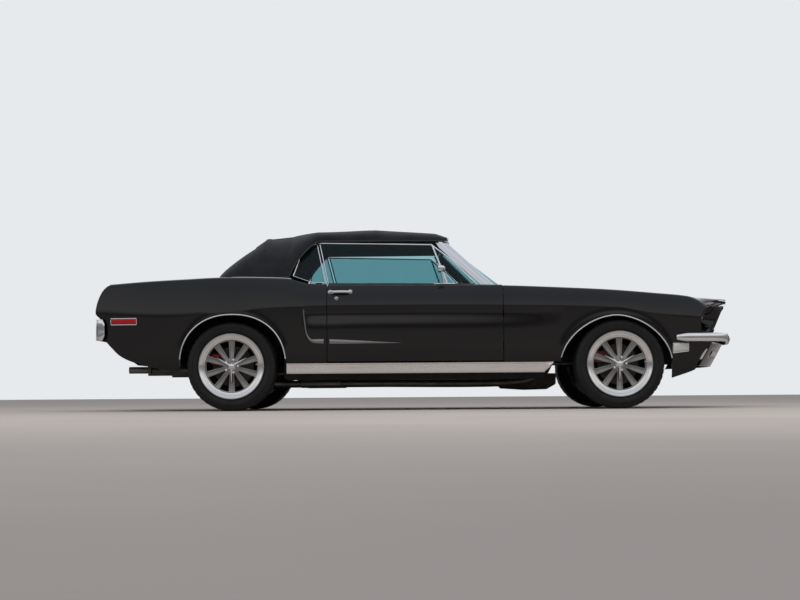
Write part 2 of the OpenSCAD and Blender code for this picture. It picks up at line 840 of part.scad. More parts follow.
module front_bumper() {
    color(chrome) {
        translate([x_nose, 0, 0]) bumper_blade(front_bumper_line, 470, 530, 20);
        both_sides() box([rail_front_x + wall_t + seat_gap, x_nose - 40], [378, 402], [490, 515]);
    }
}

// Two holes for a number plate, below the rear bumper
plate_hole_y = 88.9;
plate_hole_z = 494;
plate_hole_r = 3.5;

module rear_bumper() {
    color(chrome) mirror([1, 0, 0]) {
        translate([-x_tail, 0, 0]) bumper_blade(rear_bumper_line, 505, 655, 16);
        both_sides() box([-x_tail - 134 + seat_gap, -x_tail - 24], [378, 402], [505, 527]);
        both_sides() box([-x_tail - 30, -x_tail - 18], [378, 402], [505, 560]);
        difference() {
            box([-x_tail - 24, -x_tail - 12], [-110, 110], [plate_hole_z - 22, 545]);
            both_sides() rod_x([-x_tail - 40, -x_tail], plate_hole_y, plate_hole_z, plate_hole_r);
        }
    }
}

tail_top = [x_tail + 124, shoulder_z(x_tail + 124) - 40 - seat_gap];
tail_low = [x_tail + 92, 534];

module tail_panel() {
    across = [for (v = [-1:0.125:1]) v];
    color(black) loft([
        for (v = across)
            let (y = v * (side_w(x_tail + 70) - 58))
            [
                [tail_top[0], y, tail_top[1]], [tail_low[0], y, tail_low[1]],
                [tail_low[0] + 14, y, tail_low[1]], [tail_top[0] + 14, y, tail_top[1]]
            ]
    ]);
}

tail_slope = atan2(tail_top[0] - tail_low[0], tail_top[1] - tail_low[1]);

module tail_lamps() {
    color("darkred") {
        both_sides() for (i = [0:2]) translate([tail_low[0], 0, tail_low[1]])
            rotate([0, tail_slope, 0])
                translate([-18 - seat_gap, half_w - 178 - i * 78, 130]) cube([18, 58, 190]);
        both_sides() loft([
            for (i = [0:4])
                let (x = x_tail + 128 + 46 * i, a = side_y(x, 616) + 1, b = side_y(x, 661) + 1)
                [[x, a, 616], [x, b, 661], [x, b + 6, 661], [x, a + 6, 616]]
        ]);
    }
}

module rocker_panels() {
    xs = [for (i = [0:8]) lerp(x_ra + arch_rear_a + 12, x_fa - arch_front_a - 68, i / 8)];
    color(steel) both_sides() loft([
        for (x = xs) [
            [x, side_y(x, rocker_top_z) + 3, rocker_top_z],
            [x, side_y(x, rocker_low_z + 45) + 5, rocker_low_z + 45],
            [x, side_y(x, rocker_low_z), rocker_low_z],
            [x, sill_in_y, rocker_low_z], [x, sill_in_y, rocker_top_z]
        ]
    ]);
}

// ---- underbody ---------------------------------------------------------------------

sill_in_y = half_w - 130;
firewall_x = hood_rear_x - 90;
floor_z = 225;
floor_t = 20;
floor_rear_x = x_ra + 383;
rear_floor_z = 440;
trunk_floor_z = 330;
trunk_front_x = x_ra - 437;
wall_t = 14;
apron_y = half_w - 462;
rail_y = [half_w - 502, half_w - 440];
rail_z = [330, 400];
rail_front_x = x_nose - 332;
well_y = half_w - 345;
well_top_z = arch_rear_b + axle_z + 23;
tunnel_y = 128;
tunnel_z = 408;
pillar_y = [half_w - 200, half_w - 158];
lock_pillar_x = [door_rear_x - 86, door_rear_x - 44];
lock_top_z = belt_z - 40;
arm_slot_z = [454, 491];
shelf_front_x = at(1.21);

// Cuts the transmission tunnel out of the floor and firewall
module tunnel_space() {
    box([floor_rear_x - 100, firewall_x + 100], [-tunnel_y, tunnel_y],
        [floor_z - 10, tunnel_z]);
}

module floor_pan() {
    color(black) {
        difference() {
            union() {
                box([floor_rear_x, firewall_x], [-sill_in_y, sill_in_y],
                    [floor_z, floor_z + floor_t]);
                box([floor_rear_x, firewall_x], [-tunnel_y - 12, tunnel_y + 12],
                    [floor_z, tunnel_z + 12]);
                box([floor_rear_x - wall_t, floor_rear_x], [-well_y, well_y],
                    [floor_z, rear_floor_z + wall_t]);
            }
            tunnel_space();
        }
        both_sides() {
            box([floor_rear_x - wall_t, floor_rear_x + 22], [well_y, sill_in_y],
                [floor_z, rear_floor_z]);
            box(lock_pillar_x, [sill_in_y, half_w - 88], [rocker_top_z + seat_gap, lock_top_z]);
            box([floor_rear_x, lock_pillar_x[1]], [sill_in_y - 30, sill_in_y],
                [floor_z, lock_top_z]);
            box(lock_pillar_x, [sill_in_y, sill_in_y + 12],
                [lock_top_z, quarter_glass_z - seat_gap]);
            for (x = [floor_rear_x + 120, firewall_x - 160])
                box([x, x + 90], [sill_in_y - 70, sill_in_y - 10], [floor_z - 15, floor_z]);
        }
    }
}

module front_frame() {
    inner_floor_z = floor_z + floor_t;
    color(black) {
        difference() {
            union() {
                box([firewall_x, firewall_x + wall_t], [-sill_in_y, sill_in_y],
                    [floor_z, shelf_z]);
                both_sides() box([firewall_x, shelf_front_x], [apron_y, half_w - 170],
                    [shelf_z - 12, shelf_z]);
            }
            tunnel_space();
            both_sides() box([hood_hinge[0] - 30, hood_hinge[0] + 185],
                [arm_y[0] - 10, arm_y[1] + 10], [hood_hinge[1] - 100, shelf_z + 10]);
        }
        box([firewall_x, firewall_x + wall_t], [-arm_y[0] + 10, arm_y[0] - 10],
            [shelf_z, hood_edge_z(hood_rear_x) - 20]);
        both_sides() {
            box([firewall_x - 110, firewall_x], [pillar_y[0], pillar_y[0] + 12],
                [inner_floor_z, shelf_z]);
            box([firewall_x, firewall_x + 60], [pillar_y[0], pillar_y[0] + 12],
                [floor_z, shelf_z]);
            box([firewall_x - 122, firewall_x - 80], pillar_y,
                [inner_floor_z, screen_foot_z - 20 - seat_gap]);
            box([hinge_x + 24, hinge_x + 66], [pillar_y[0], hinge_y - 14],
                [rocker_top_z + seat_gap, shelf_z]);
            for (z = hinge_heights, s = [-1, 1])
                translate([0, 0, z + s * (hinge_h / 2 + 10)])
                    box([hinge_x - 8, hinge_x + 30], [hinge_y - 30, hinge_y + 8], [-5, 5]);
            for (z = hinge_heights) translate([hinge_x, hinge_y, z - hinge_h / 2 - 12])
                cylinder(r = hinge_pin_r, h = hinge_h + 24);
            box([firewall_x, rail_front_x], rail_y, rail_z);
            difference() {
                box([firewall_x, rail_front_x], [apron_y, apron_y + wall_t], [rail_z[1], shelf_z]);
                box([x_fa - 60, x_fa + 60], [apron_y - 10, apron_y + 30], arm_slot_z);
            }
            box([hood_hinge[0] - 24, hood_hinge[0] + 24], [arm_y[1] + 12, arm_y[1] + 24],
                [shelf_z, hood_hinge[1] + 14]);
            box([hood_hinge[0] - 24, firewall_x + wall_t], [arm_y[1] + 12, arm_y[1] + 24],
                [shelf_z - 12, shelf_z]);
            rod_y(hood_hinge[0], [arm_y[0] - 6, arm_y[1] + 18], hood_hinge[1], arm_pin_r);
        }
        box([rail_front_x, rail_front_x + wall_t], [-rail_y[1], rail_y[1]],
            [rail_z[0], shelf_z - 30]);
    }
}

module rear_frame() {
    wide_y = well_y + 150;
    bulkhead_x = bow_x - 222;
    wall_x = x_tail + 134;
    slope_x = x_tail + 300;
    rear_end = floor_rear_x - wall_t;
    color(black) {
        box([trunk_front_x, rear_end], [-well_y, well_y], [rear_floor_z, rear_floor_z + wall_t]);
        box([trunk_front_x, trunk_front_x + wall_t], [-well_y, well_y],
            [trunk_floor_z, rear_floor_z]);
        box([slope_x, trunk_front_x + wall_t], [-wide_y, wide_y],
            [trunk_floor_z, trunk_floor_z + wall_t]);
        loft([for (y = [-wide_y, wide_y]) [
            [wall_x, y, 452], [slope_x, y, trunk_floor_z],
            [slope_x + 10, y, trunk_floor_z + wall_t], [wall_x, y, 472]
        ]]);
        box([slope_x + 10, trunk_front_x - 60], [-360, 360], [285, trunk_floor_z]);
        box([wall_x, wall_x + wall_t], [-wide_y, wide_y], [452, 566]);
        box([bulkhead_x, bulkhead_x + wall_t], [-wide_y, wide_y], [well_top_z, top_foot_z - 60]);
        box([bulkhead_x, bulkhead_x + wall_t], [-well_y, well_y], [rear_floor_z, well_top_z]);
        both_sides() {
            box([trunk_front_x + 60, rear_end - 11], [well_y, well_y + wall_t],
                [rear_floor_z, well_top_z]);
            box([trunk_front_x + 60, rear_end - 11], [well_y, half_w - 66],
                [well_top_z - wall_t, well_top_z]);
            box([deck_hinge[0] - 30, bulkhead_x + wall_t], [deck_arm_y[1] + 12, deck_arm_y[1] + 24],
                [deck_hinge[1] - 30, deck_hinge[1] + 16]);
            rod_y(deck_hinge[0], [deck_arm_y[0] - 6, deck_arm_y[1] + 18], deck_hinge[1], arm_pin_r);
        }
    }
}

module engine() {
    color("dimgray") {
        box([x_fa - 600, x_fa + 60], [-230, 230], [332, 740]);
        box([x_fa - 1150, x_fa - 600], [-105, 105], [250, 398]);
    }
}

module bent_pipe(path, r, n = 10) {
    last = len(path) - 1;
    loft([
        for (i = [0:last])
            let (
                d = path[min(last, i + 1)] - path[max(0, i - 1)],
                u = d / norm(d),
                s = cross([0, 0, 1], u) / norm(cross([0, 0, 1], u)),
                w = cross(u, s)
            )
            [for (k = [0:n - 1]) path[i] + r * (s * cos(360 * k / n) + w * sin(360 * k / n))]
    ]);
}

module exhaust() {
    y = 330;
    color(steel) both_sides() {
        bent_pipe([
            [x_fa - 560, y - 60, 290], [x_fa - 700, y - 20, 194], [x_ra + 1000, y, 192],
            [x_ra + 760, y, 192]
        ], 26);
        box([x_ra + 450, x_ra + 760], [y - 75, y + 75], [162, floor_z - seat_gap]);
        bent_pipe([
            [x_ra + 450, y + 20, 193], [x_ra + 250, y + 60, 196], [x_ra + 120, y + 60, 232],
            [x_ra - 120, y + 60, 236], [x_ra - 330, y + 78, 296], [x_tail + 300, y + 82, 300],
            [x_tail + 180, y + 82, 300]
        ], 26);
    }
}

spindle_r = 18;
hub_in = 43;
spring_y = [half_w - 400, half_w - 340];
tube_r = 38;

module rear_axle() {
    end = track_w / 2 - hub_in - 2;
    color(dark) {
        rod_y(x_ra, [-end, end], axle_z, tube_r);
        both_sides() rod_y(x_ra, [end - 1, track_w / 2 + 45], axle_z, spindle_r);
        translate([x_ra - 20, 0, axle_z]) rotate([0, 90, 0])
            cylinder(r = 108, h = 150, center = true);
        rod_x([x_ra, x_fa - 1150 - seat_gap], 0, axle_z, 34);
        both_sides() {
            box([x_ra - 640, floor_rear_x - wall_t - seat_gap], spring_y,
                [axle_z - 60, axle_z - 46]);
            box([x_ra - 50, x_ra + 50], spring_y, [axle_z - 47, axle_z]);
            box([x_ra - 640, x_ra - 620], spring_y, [axle_z - 60, trunk_floor_z - seat_gap]);
        }
    }
}

king_y = track_w / 2 - 83;
king_r = 10;
arm_low_z = [axle_z - 114, axle_z - 90];
arm_high_z = [axle_z + 143, axle_z + 168];

module front_suspension() {
    color(dark) {
        box([x_fa - 40, x_fa + 40], [-rail_y[1], rail_y[1]], [rail_z[0] - 30, rail_z[0]]);
        both_sides() difference() {
            union() {
                box([x_fa - 16, x_fa + 16], [rail_y[0] - 18, king_y + 22], arm_low_z);
                box([x_fa - 16, x_fa + 16], [rail_y[0] - 18, king_y + 22], arm_high_z);
                box([x_fa - 16, x_fa + 16], [rail_y[0] - 18, rail_y[0] - 2],
                    [arm_low_z[0], arm_high_z[1]]);
            }
            translate([x_fa, king_y, 0]) cylinder(r = king_r + pin_gap, h = 1000);
        }
    }
}

module knuckle() {
    top = arm_high_z[0] - 6;
    low = arm_low_z[1] + 6;
    color(steel) {
        translate([x_fa, king_y, arm_low_z[0]])
            cylinder(r = king_r, h = arm_high_z[1] - arm_low_z[0]);
        box([x_fa - 20, x_fa + 20], [king_y - 15, king_y + 20], [low, top]);
        rod_y(x_fa, [king_y + 10, track_w / 2 + 45], axle_z, spindle_r);
        box([x_fa - 165, x_fa], [king_y + 6, king_y + 20], [axle_z + 10, axle_z + 90]);
    }
    color("firebrick") {
        box([x_fa - 172, x_fa - 96], [king_y + 6, king_y + 34], [axle_z + 10, axle_z + 90]);
        box([x_fa - 172, x_fa - 152], [king_y + 6, king_y + 80], [axle_z + 10, axle_z + 90]);
        box([x_fa - 172, x_fa - 96], [king_y + 70, king_y + 80], [axle_z + 10, axle_z + 90]);
    }
}

// ---- wheels --------------------------------------------------------------------------

disc_r = 145;

module wheel(x) {
    rim_w = tyre_w / 2 - 8;
    color(chrome) translate([x, track_w / 2, axle_z]) rotate([-90, 0, 0]) difference() {
        union() {
            rotate_extrude() polygon([
                [rim_r - 14, -rim_w], [rim_r + 15, -rim_w], [rim_r + 15, -rim_w + 8],
                [rim_r, -rim_w + 12], [rim_r, rim_w - 12], [rim_r + 15, rim_w - 8],
                [rim_r + 15, rim_w], [rim_r + 8, rim_w + 3], [rim_r - 43, rim_w - 22],
                [rim_r - 43, rim_w - 44], [rim_r - 14, rim_w - 50]
            ]);
            for (k = [0:spokes - 1]) rotate([0, 0, k * 360 / spokes + 5])
                translate([30, -12, rim_w - 42]) cube([rim_r - 68, 24, 18]);
            translate([0, 0, -hub_in]) cylinder(r = 62, h = rim_w - 22 + hub_in);
            translate([0, 0, -hub_in]) cylinder(r = disc_r, h = 20);
        }
        translate([0, 0, -hub_in - 1]) cylinder(r = spindle_r + pin_gap, h = hub_in + 50);
    }
}

module tyre(x) {
    half = tyre_w / 2;
    bead = rim_r + seat_gap;
    color("black") translate([x, track_w / 2, axle_z]) rotate([-90, 0, 0]) rotate_extrude($fn = 96)
        polygon([
            [bead, -half + 21], [bead + 18, -half + 19], [rim_r + 40, -half + 2],
            [rim_r + 56, -half], [tyre_r - 22, -half + 5], [tyre_r - 7, -half + 16],
            [tyre_r - 1.5, -half + 32], [tyre_r, -half + 60], [tyre_r, half - 60],
            [tyre_r - 1.5, half - 32], [tyre_r - 7, half - 16], [tyre_r - 22, half - 5],
            [rim_r + 56, half], [rim_r + 40, half - 2], [bead + 18, half - 19],
            [bead, half - 21]
        ]);
}

// ---- cabin ------------------------------------------------------------------------------

seat_y = tunnel_y + 22 + seat_w / 2;
seat_z = floor_z + floor_t + seat_gap;
seat_x = door_rear_x + 60;

module front_seats() {
    color("black") both_sides() translate([0, seat_y + seat_w / 2, 0]) rotate([90, 0, 0])
        linear_extrude(seat_w) polygon([
            [seat_x + 110, seat_z], [seat_x + 600, seat_z], [seat_x + 620, seat_z + 190],
            [seat_x + 560, seat_z + 230], [seat_x + 160, seat_z + 200],
            [seat_x + 50, seat_z + 650], [seat_x - 40, seat_z + 650], [seat_x + 30, seat_z + 180]
        ]);
}

module rear_seat() {
    low = rear_floor_z + wall_t + seat_gap;
    back = bow_x - 208 + seat_gap;
    color("black") translate([0, well_y - 8, 0]) rotate([90, 0, 0])
        linear_extrude(2 * well_y - 16) polygon([
            [back, low], [back + 380, low], [back + 390, low + 110], [back + 340, low + 135],
            [back + 130, low + 115], [back + 90, low + 400], [back, low + 400]
        ]);
}

column_y = seat_y;
column_end = [door_front_x - 330, belt_z - 93];
column_tilt = 68;
column_r = 12;
column_out = 8;

module instrument_panel() {
    half = pillar_y[0] - seat_gap;
    color("black") {
        translate([0, half, 0]) rotate([90, 0, 0]) linear_extrude(2 * half) polygon([
            [door_front_x - 110, 690], [door_front_x - 20, 650], [door_front_x - 20, 826],
            [door_front_x - 60, 840], [door_front_x - 130, 832], [door_front_x - 142, 804]
        ]);
        translate([column_end[0], column_y, column_end[1]]) rotate([0, -column_tilt, 0])
            mirror([0, 0, 1]) translate([0, 0, -column_out]) cylinder(r = column_r, h = 240);
        translate([column_end[0], column_y, column_end[1]]) rotate([0, -column_tilt, 0])
            mirror([0, 0, 1]) translate([0, 0, 30]) cylinder(r = 32, h = 190);
    }
}

module steering_wheel() {
    color("black") translate([column_end[0], column_y, column_end[1]])
        rotate([0, -column_tilt, 0]) difference() {
            union() {
                rotate_extrude() translate([steer_r, 0]) circle(r = 13);
                for (k = [0:2]) rotate([0, 0, 180 + 120 * k])
                    translate([20, -14, -26]) rotate([0, -7, 0]) cube([steer_r - 28, 28, 6]);
                translate([0, 0, -28]) cylinder(r = 42, h = 46);
            }
            translate([0, 0, -60]) cylinder(r = column_r + pin_gap, h = 61 + column_out);
        }
}

// ---- assembly ------------------------------------------------------------------------------

floor_pan();
front_frame();
rear_frame();
cowl_panel();
front_fender();  // front_fender_left
mirror([0, 1, 0]) front_fender();  // front_fender_right
nose_panel();
grille();
front_valance();
front_bumper();
headlights();
rocker_panels();
quarter_panel();  // quarter_panel_left
mirror([0, 1, 0]) quarter_panel();  // quarter_panel_right
deck_filler();
tail_panel();
tail_lamps();
rear_bumper();
windshield_frame();
windshield();
soft_top();
rear_windows();
front_seats();
rear_seat();
instrument_panel();
engine();
exhaust();
rear_axle();
front_suspension();
door();  // door_left
mirror([0, 1, 0]) door();  // door_right
door_glass();  // door_glass_left
mirror([0, 1, 0]) door_glass();  // door_glass_right
door_mirror();  // door_mirror_left
mirror([0, 1, 0]) door_mirror();  // door_mirror_right
hood();
decklid();
steering_wheel();
knuckle();  // knuckle_left
mirror([0, 1, 0]) knuckle();  // knuckle_right
wheel(x_fa);  // wheel_front_left
mirror([0, 1, 0]) wheel(x_fa);  // wheel_front_right
wheel(x_ra);  // wheel_rear_left
mirror([0, 1, 0]) wheel(x_ra);  // wheel_rear_right
tyre(x_fa);  // tyre_front_left
mirror([0, 1, 0]) tyre(x_fa);  // tyre_front_right
tyre(x_ra);  // tyre_rear_left
mirror([0, 1, 0]) tyre(x_ra);  // tyre_rear_right
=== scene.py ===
import math

import bmesh
import bpy
from mathutils import Matrix, Vector


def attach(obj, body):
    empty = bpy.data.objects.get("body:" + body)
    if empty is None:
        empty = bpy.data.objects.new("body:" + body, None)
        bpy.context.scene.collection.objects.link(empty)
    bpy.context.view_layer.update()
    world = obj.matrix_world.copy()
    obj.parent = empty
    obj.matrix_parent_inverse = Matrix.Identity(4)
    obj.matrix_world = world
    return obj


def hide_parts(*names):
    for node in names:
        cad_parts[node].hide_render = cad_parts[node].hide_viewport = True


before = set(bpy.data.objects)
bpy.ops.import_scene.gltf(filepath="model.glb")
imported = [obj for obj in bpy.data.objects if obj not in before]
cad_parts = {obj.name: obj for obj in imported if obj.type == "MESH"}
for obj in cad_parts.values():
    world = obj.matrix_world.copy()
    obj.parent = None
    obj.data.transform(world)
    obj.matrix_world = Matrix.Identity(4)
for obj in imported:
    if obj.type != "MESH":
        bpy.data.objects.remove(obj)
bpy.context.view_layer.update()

SIDES = ((1, "left"), (-1, "right"))

# Lengths in this script are millimetres; MM turns them into metres at the mesh.
MM = 0.001

# ---- sizes shared with the CAD model -------------------------------------------------

X_NOSE, X_TAIL = 2331.5, -2331.5
X_FA, X_RA = 1399.5, -1343.5
HALF_W = 900.5
ROOF_Z = 1318.0
BELT_Z = 893.0
GAP = 7.0
DOOR_FRONT, DOOR_REAR = 578.5, -660.5
DOOR_LOW = 345.0
WINDOW_Z = 1212.0
TYRE_R, TYRE_W, RIM_R = 317.0, 225.0, 219.0
AXLE_Z = TYRE_R
TRACK = 1486.0
RIDGE_Z, RIDGE_IN = 470.0, 20.0
ROCKER_LOW, ROCKER_TOP = 215.0, 337.0
SILL_LOW_IN = 62.0
HOOD_REAR = 744.5
ARCH_F = (X_FA - 22, TYRE_R + 79, TYRE_R + 25, 1.8)
ARCH_R = (X_RA + 9, TYRE_R + 61, TYRE_R + 47, 2.2)
LID_FRONT = ARCH_R[0] - ARCH_R[1] * math.cos(math.radians(30))
LID_REAR = X_TAIL + 112
BACK_X = X_RA - 177
BOW_X = X_RA + 215
QGLASS_X = X_RA + 400
WINDOW_END = X_RA + 603
HEADER_X = DOOR_FRONT - 382
FOLD = 270.0
TOP_FOOT_Z = BELT_Z + 60


# ---- curves --------------------------------------------------------------------------

def lerp(a, b, t):
    return a + (b - a) * t


def clamp(v, lo=0.0, hi=1.0):
    return min(hi, max(lo, v))


def ease(t):
    t = clamp(t)
    return t * t * (3 - 2 * t)


def sind(a):
    return math.sin(math.radians(a))


def cosd(a):
    return math.cos(math.radians(a))


def span(t, x):
    i = 0
    while i < len(t) - 2 and x >= t[i + 1][0]:
        i += 1
    return i


def slope(t, i):
    a, b = max(0, i - 1), min(len(t) - 1, i + 1)
    return (t[b][1] - t[a][1]) / (t[b][0] - t[a][0])


def curve(t, x):
    """Smooth curve through a table of (x, value) pairs, level past its ends."""
    i = span(t, x)
    h = t[i + 1][0] - t[i][0]
    u = clamp((x - t[i][0]) / h)
    a, b = t[i][1], t[i + 1][1]
    ma, mb = slope(t, i) * h, slope(t, i + 1) * h
    return a + u * (ma + u * (3 * (b - a) - 2 * ma - mb + u * (2 * (a - b) + ma + mb)))


def lookup(t, x):
    """Straight lines through a table of (x, value) pairs, level past its ends."""
    i = span(t, x)
    return lerp(t[i][1], t[i + 1][1], clamp((x - t[i][0]) / (t[i + 1][0] - t[i][0])))


def at(s):
    """Station along the car: -2 tail, -1 rear axle, 1 front axle, 2 nose."""
    if s < -1:
        return lerp(X_RA, X_TAIL, -1 - s)
    return lerp(X_RA, X_FA, (s + 1) / 2) if s < 1 else lerp(X_FA, X_NOSE, s - 1)


def table(*pairs):
    return [(at(s), v) for s, v in pairs]


# ---- body surface --------------------------------------------------------------------

CREASE = table((-2, -195), (-1.45, -222), (-1, -190), (-0.6, -160), (0.4, -161),
               (1, -180), (1.25, -225), (1.6, -253))
SHOULDER = table((-1.89, 16), (-1.62, 35), (-1.31, 50), (-1.08, 57), (-0.71, 45),
                 (-0.655, 26), (-0.6, 7), (-0.5, 3), (-0.17, 0), (0.4, -9), (0.715, -27),
                 (0.953, -45), (1.28, -72), (1.525, -96), (1.6, -123), (1.67, -169))
SIDE_W = table((-2, 0.9), (-1.89, 0.918), (-1.6, 0.955), (-1, 0.992), (-0.5, 0.988),
               (0, 0.983), (0.4, 0.98), (1, 0.973), (1.4, 0.955), (1.62, 0.93), (2, 0.87))
SHOULDER_IN = table((-2, 40), (-1.6, 60), (-1, 80), (-0.5, 74), (0.4, 68), (1, 60),
                    (1.4, 55), (1.67, 38))
GROOVE = table((-0.622, 0), (-0.6, 15), (-0.3, 15), (0.1, 13), (0.4, 10), (0.72, 0))
HOOD_HALF = table((0.5, 198), (1, 211), (1.5, 232), (1.85, 272))
HOOD_EDGE = table((0.4, -22), (0.953, -52), (1.28, -79), (1.525, -97), (1.75, -112),
                  (1.93, -127))


def crease_z(x):
    return BELT_Z + curve(CREASE, x)


def shoulder_z(x):
    return BELT_Z + curve(SHOULDER, x)


def side_w(x):
    return HALF_W * curve(SIDE_W, x)


def groove(x, below):
    """Depth of the hollow at a distance below the widest line."""
    shape = ease(below / 42) if below < 42 else ease((150 - below) / 108)
    return curve(GROOVE, x) * shape


def ring_gap(x, z, arch):
    xc, a, b, _ = arch
    return (math.hypot((x - xc) / a, (z - AXLE_Z) / b) - 1) * a


def flare(x, z):
    return 6 * sum(math.exp(-(ring_gap(x, z, arch) / 32) ** 2) for arch in (ARCH_F, ARCH_R))


def side_y(x, z):
    w, zc, zs = side_w(x), crease_z(x), shoulder_z(x)
    if z > zc:
        t = (z - zc) / (zs - zc)
        y = w - curve(SHOULDER_IN, x) * t * (0.3 + 0.7 * t)
    elif z > RIDGE_Z:
        y = w - RIDGE_IN * (1 - (z - RIDGE_Z) / (zc - RIDGE_Z)) - groove(x, zc - z)
    else:
        y = w - RIDGE_IN - SILL_LOW_IN * ((RIDGE_Z - z) / (RIDGE_Z - ROCKER_LOW)) ** 1.6
    return y + flare(x, z)


def hood_half(x):
    return HALF_W - curve(HOOD_HALF, x)


def hood_edge_z(x):
    return BELT_Z + curve(HOOD_EDGE, x)


def hood_z(x, y):
    return hood_edge_z(x) + 27 * (1 - (y / hood_half(x)) ** 2)


def arch_z(x, arch):
    xc, a, b, n = arch
    d = abs(x - xc) / a
    return AXLE_Z + b * (1 - d ** n) ** (1 / n) if d < 1 else 0


FENDER_LOW = [(ARCH_F[0] + ARCH_F[1], 215), (X_NOSE - 418, 262), (X_NOSE - 360, 292)]
QUARTER_LOW = [(X_TAIL + 79, 512), (X_TAIL + 132, 452), (X_TAIL + 196, 392),
               (X_TAIL + 303, 345), (X_TAIL + 533, 290), (ARCH_R[0] - ARCH_R[1], 282)]


def fender_low(x):
    return max(arch_z(x, ARCH_F), ROCKER_TOP if x < X_FA else curve(FENDER_LOW, x))


def quarter_low(x):
    return max(arch_z(x, ARCH_R), ROCKER_TOP if x > X_RA else curve(QUARTER_LOW, x))


def glass_y(z):
    return HALF_W - 115 - (z - BELT_Z) * 0.56


QUARTER_IN = [(X_TAIL + 60, 288), (LID_FRONT, 279), (ARCH_R[0], 158),
              (QGLASS_X - 60, 158), (QGLASS_X + 20, 136)]


def quarter_in(x):
    if x > QGLASS_X + 20:
        return glass_y(shoulder_z(x)) + 4
    return HALF_W - lookup(QUARTER_IN, x)


def deck_z(x, y):
    return shoulder_z(x) - 4 + 16 * (1 - (y / (HALF_W - 280)) ** 2)


# ---- meshes --------------------------------------------------------------------------

def piece(name, verts, faces, material, body, slot, node=(), side=1, sharp=32, bevel=0.0):
    """A finished mesh piece from millimetre points; side -1 mirrors it to the right."""
    mesh = bpy.data.meshes.new(name)
    mesh.from_pydata([(v[0] * MM, v[1] * MM * side, v[2] * MM) for v in verts], [], faces)
    bm = bmesh.new()
    bm.from_mesh(mesh)
    bmesh.ops.remove_doubles(bm, verts=bm.verts, dist=1e-6)
    bmesh.ops.recalc_face_normals(bm, faces=bm.faces)
    if bevel:
        edges = [e for e in bm.edges if len(e.link_faces) == 2
                 and e.calc_face_angle(0) > math.radians(48)]
        bmesh.ops.bevel(bm, geom=edges, offset=bevel * MM, segments=2, profile=0.5,
                        affect="EDGES", clamp_overlap=True)
    bm.to_mesh(mesh)
    bm.free()
    for face in mesh.polygons:
        face.use_smooth = True
    mesh.set_sharp_from_angle(angle=math.radians(sharp))
    obj = bpy.data.objects.new(name, mesh)
    bpy.context.scene.collection.objects.link(obj)
    mesh.materials.append(material)
    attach(obj, body)
    if node:
        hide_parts(*([node] if isinstance(node, str) else node))
    return obj


def both(name, part, material, slot, node="", body="body_shell", **finish):
    """A piece on the left and its mirror image on the right; {} stands for the side."""
    for side, word in SIDES:
        piece(f"{name}_{word}", *part, material, body.format(word), slot, node.format(word),
              side, **finish)


def grid_normals(rows):
    """Unit normals of a grid of points."""
    out = []
    for i, row in enumerate(rows):
        line = []
        for j in range(len(row)):
            a = Vector(rows[min(i + 1, len(rows) - 1)][j]) - Vector(rows[max(i - 1, 0)][j])
            b = Vector(row[min(j + 1, len(row) - 1)]) - Vector(row[max(j - 1, 0)])
            n = a.cross(b)
            line.append(n.normalized() if n.length > 1e-9 else Vector((0, 0, 1)))
        out.append(line)
    return out


def is_cut(cut, i, j):
    return any(c[0] <= i <= c[1] and c[2] <= j <= c[3] for c in cut)


def shell(outer, inner, cut=()):
    """Points and faces of the closed solid between two grids of the same size."""
    rows, cols = len(outer), len(outer[0])
    count = rows * cols

    def inside(i, j):
        return 0 <= i < rows - 1 and 0 <= j < cols - 1 and not is_cut(cut, i, j)

    def at_(i, j, k):
        return k * count + i * cols + j

    faces = []
    for i in range(rows - 1):
        for j in range(cols - 1):
            if not inside(i, j):
                continue
            faces.append((at_(i, j, 0), at_(i, j + 1, 0), at_(i + 1, j + 1, 0), at_(i + 1, j, 0)))
            faces.append((at_(i, j, 1), at_(i + 1, j, 1), at_(i + 1, j + 1, 1), at_(i, j + 1, 1)))
            for di, dj, a, b in ((-1, 0, (i, j), (i, j + 1)), (1, 0, (i + 1, j + 1), (i + 1, j)),
                                 (0, -1, (i + 1, j), (i, j)), (0, 1, (i, j + 1), (i + 1, j + 1))):
                if not inside(i + di, j + dj):
                    faces.append((at_(*a, 0), at_(*a, 1), at_(*b, 1), at_(*b, 0)))
    verts = [p for r in outer for p in r] + [p for r in inner for p in r]
    used = sorted({k for f in faces for k in f})
    new = {k: n for n, k in enumerate(used)}
    return [verts[k] for k in used], [tuple(new[k] for k in f) for f in faces]


def facing(rows, outward):
    """Unit normals of a grid, on the side that looks outward."""
    normals = grid_normals(rows)
    total = sum((n for line in normals for n in line), Vector())
    sign = 1 if total.dot(Vector(outward)) > 0 else -1
    return [[n * sign for n in line] for line in normals]


def skin(rows, thick, outward):
    """A closed sheet of even thickness behind a grid of points."""
    return shell(rows, [[tuple(Vector(p) - n * thick) for p, n in zip(r, ns)]
                        for r, ns in zip(rows, facing(rows, outward))])


def turned_edge(rows, outward, depth, first=True, last=True):
    """The grid with its first and last columns turned inward, as a folded panel edge."""
    out = []
    for row, ns in zip(rows, facing(rows, outward)):
        new = list(row)
        if first:
            new.insert(0, tuple(Vector(row[0]) - ns[0] * depth))
        if last:
            new.append(tuple(Vector(row[-1]) - ns[-1] * depth))
        out.append(new)
    return out


def squircle(a, power):
    """How far out a softened rectangle lies at an angle, against a circle."""
    return (abs(cosd(a)) ** power + abs(sind(a)) ** power) ** (-1 / power)


def loft(rings, closed=True, caps=True):
    """Points and faces of a bar through rings of points."""
    n = len(rings[0])
    faces = []
    for i in range(len(rings) - 1):
        for j in range(n if closed else n - 1):
            k = (j + 1) % n
            faces.append((i * n + j, i * n + k, (i + 1) * n + k, (i + 1) * n + j))
    if caps and closed:
        faces.append(tuple(range(n - 1, -1, -1)))
        faces.append(tuple((len(rings) - 1) * n + j for j in range(n)))
    return [p for r in rings for p in r], faces


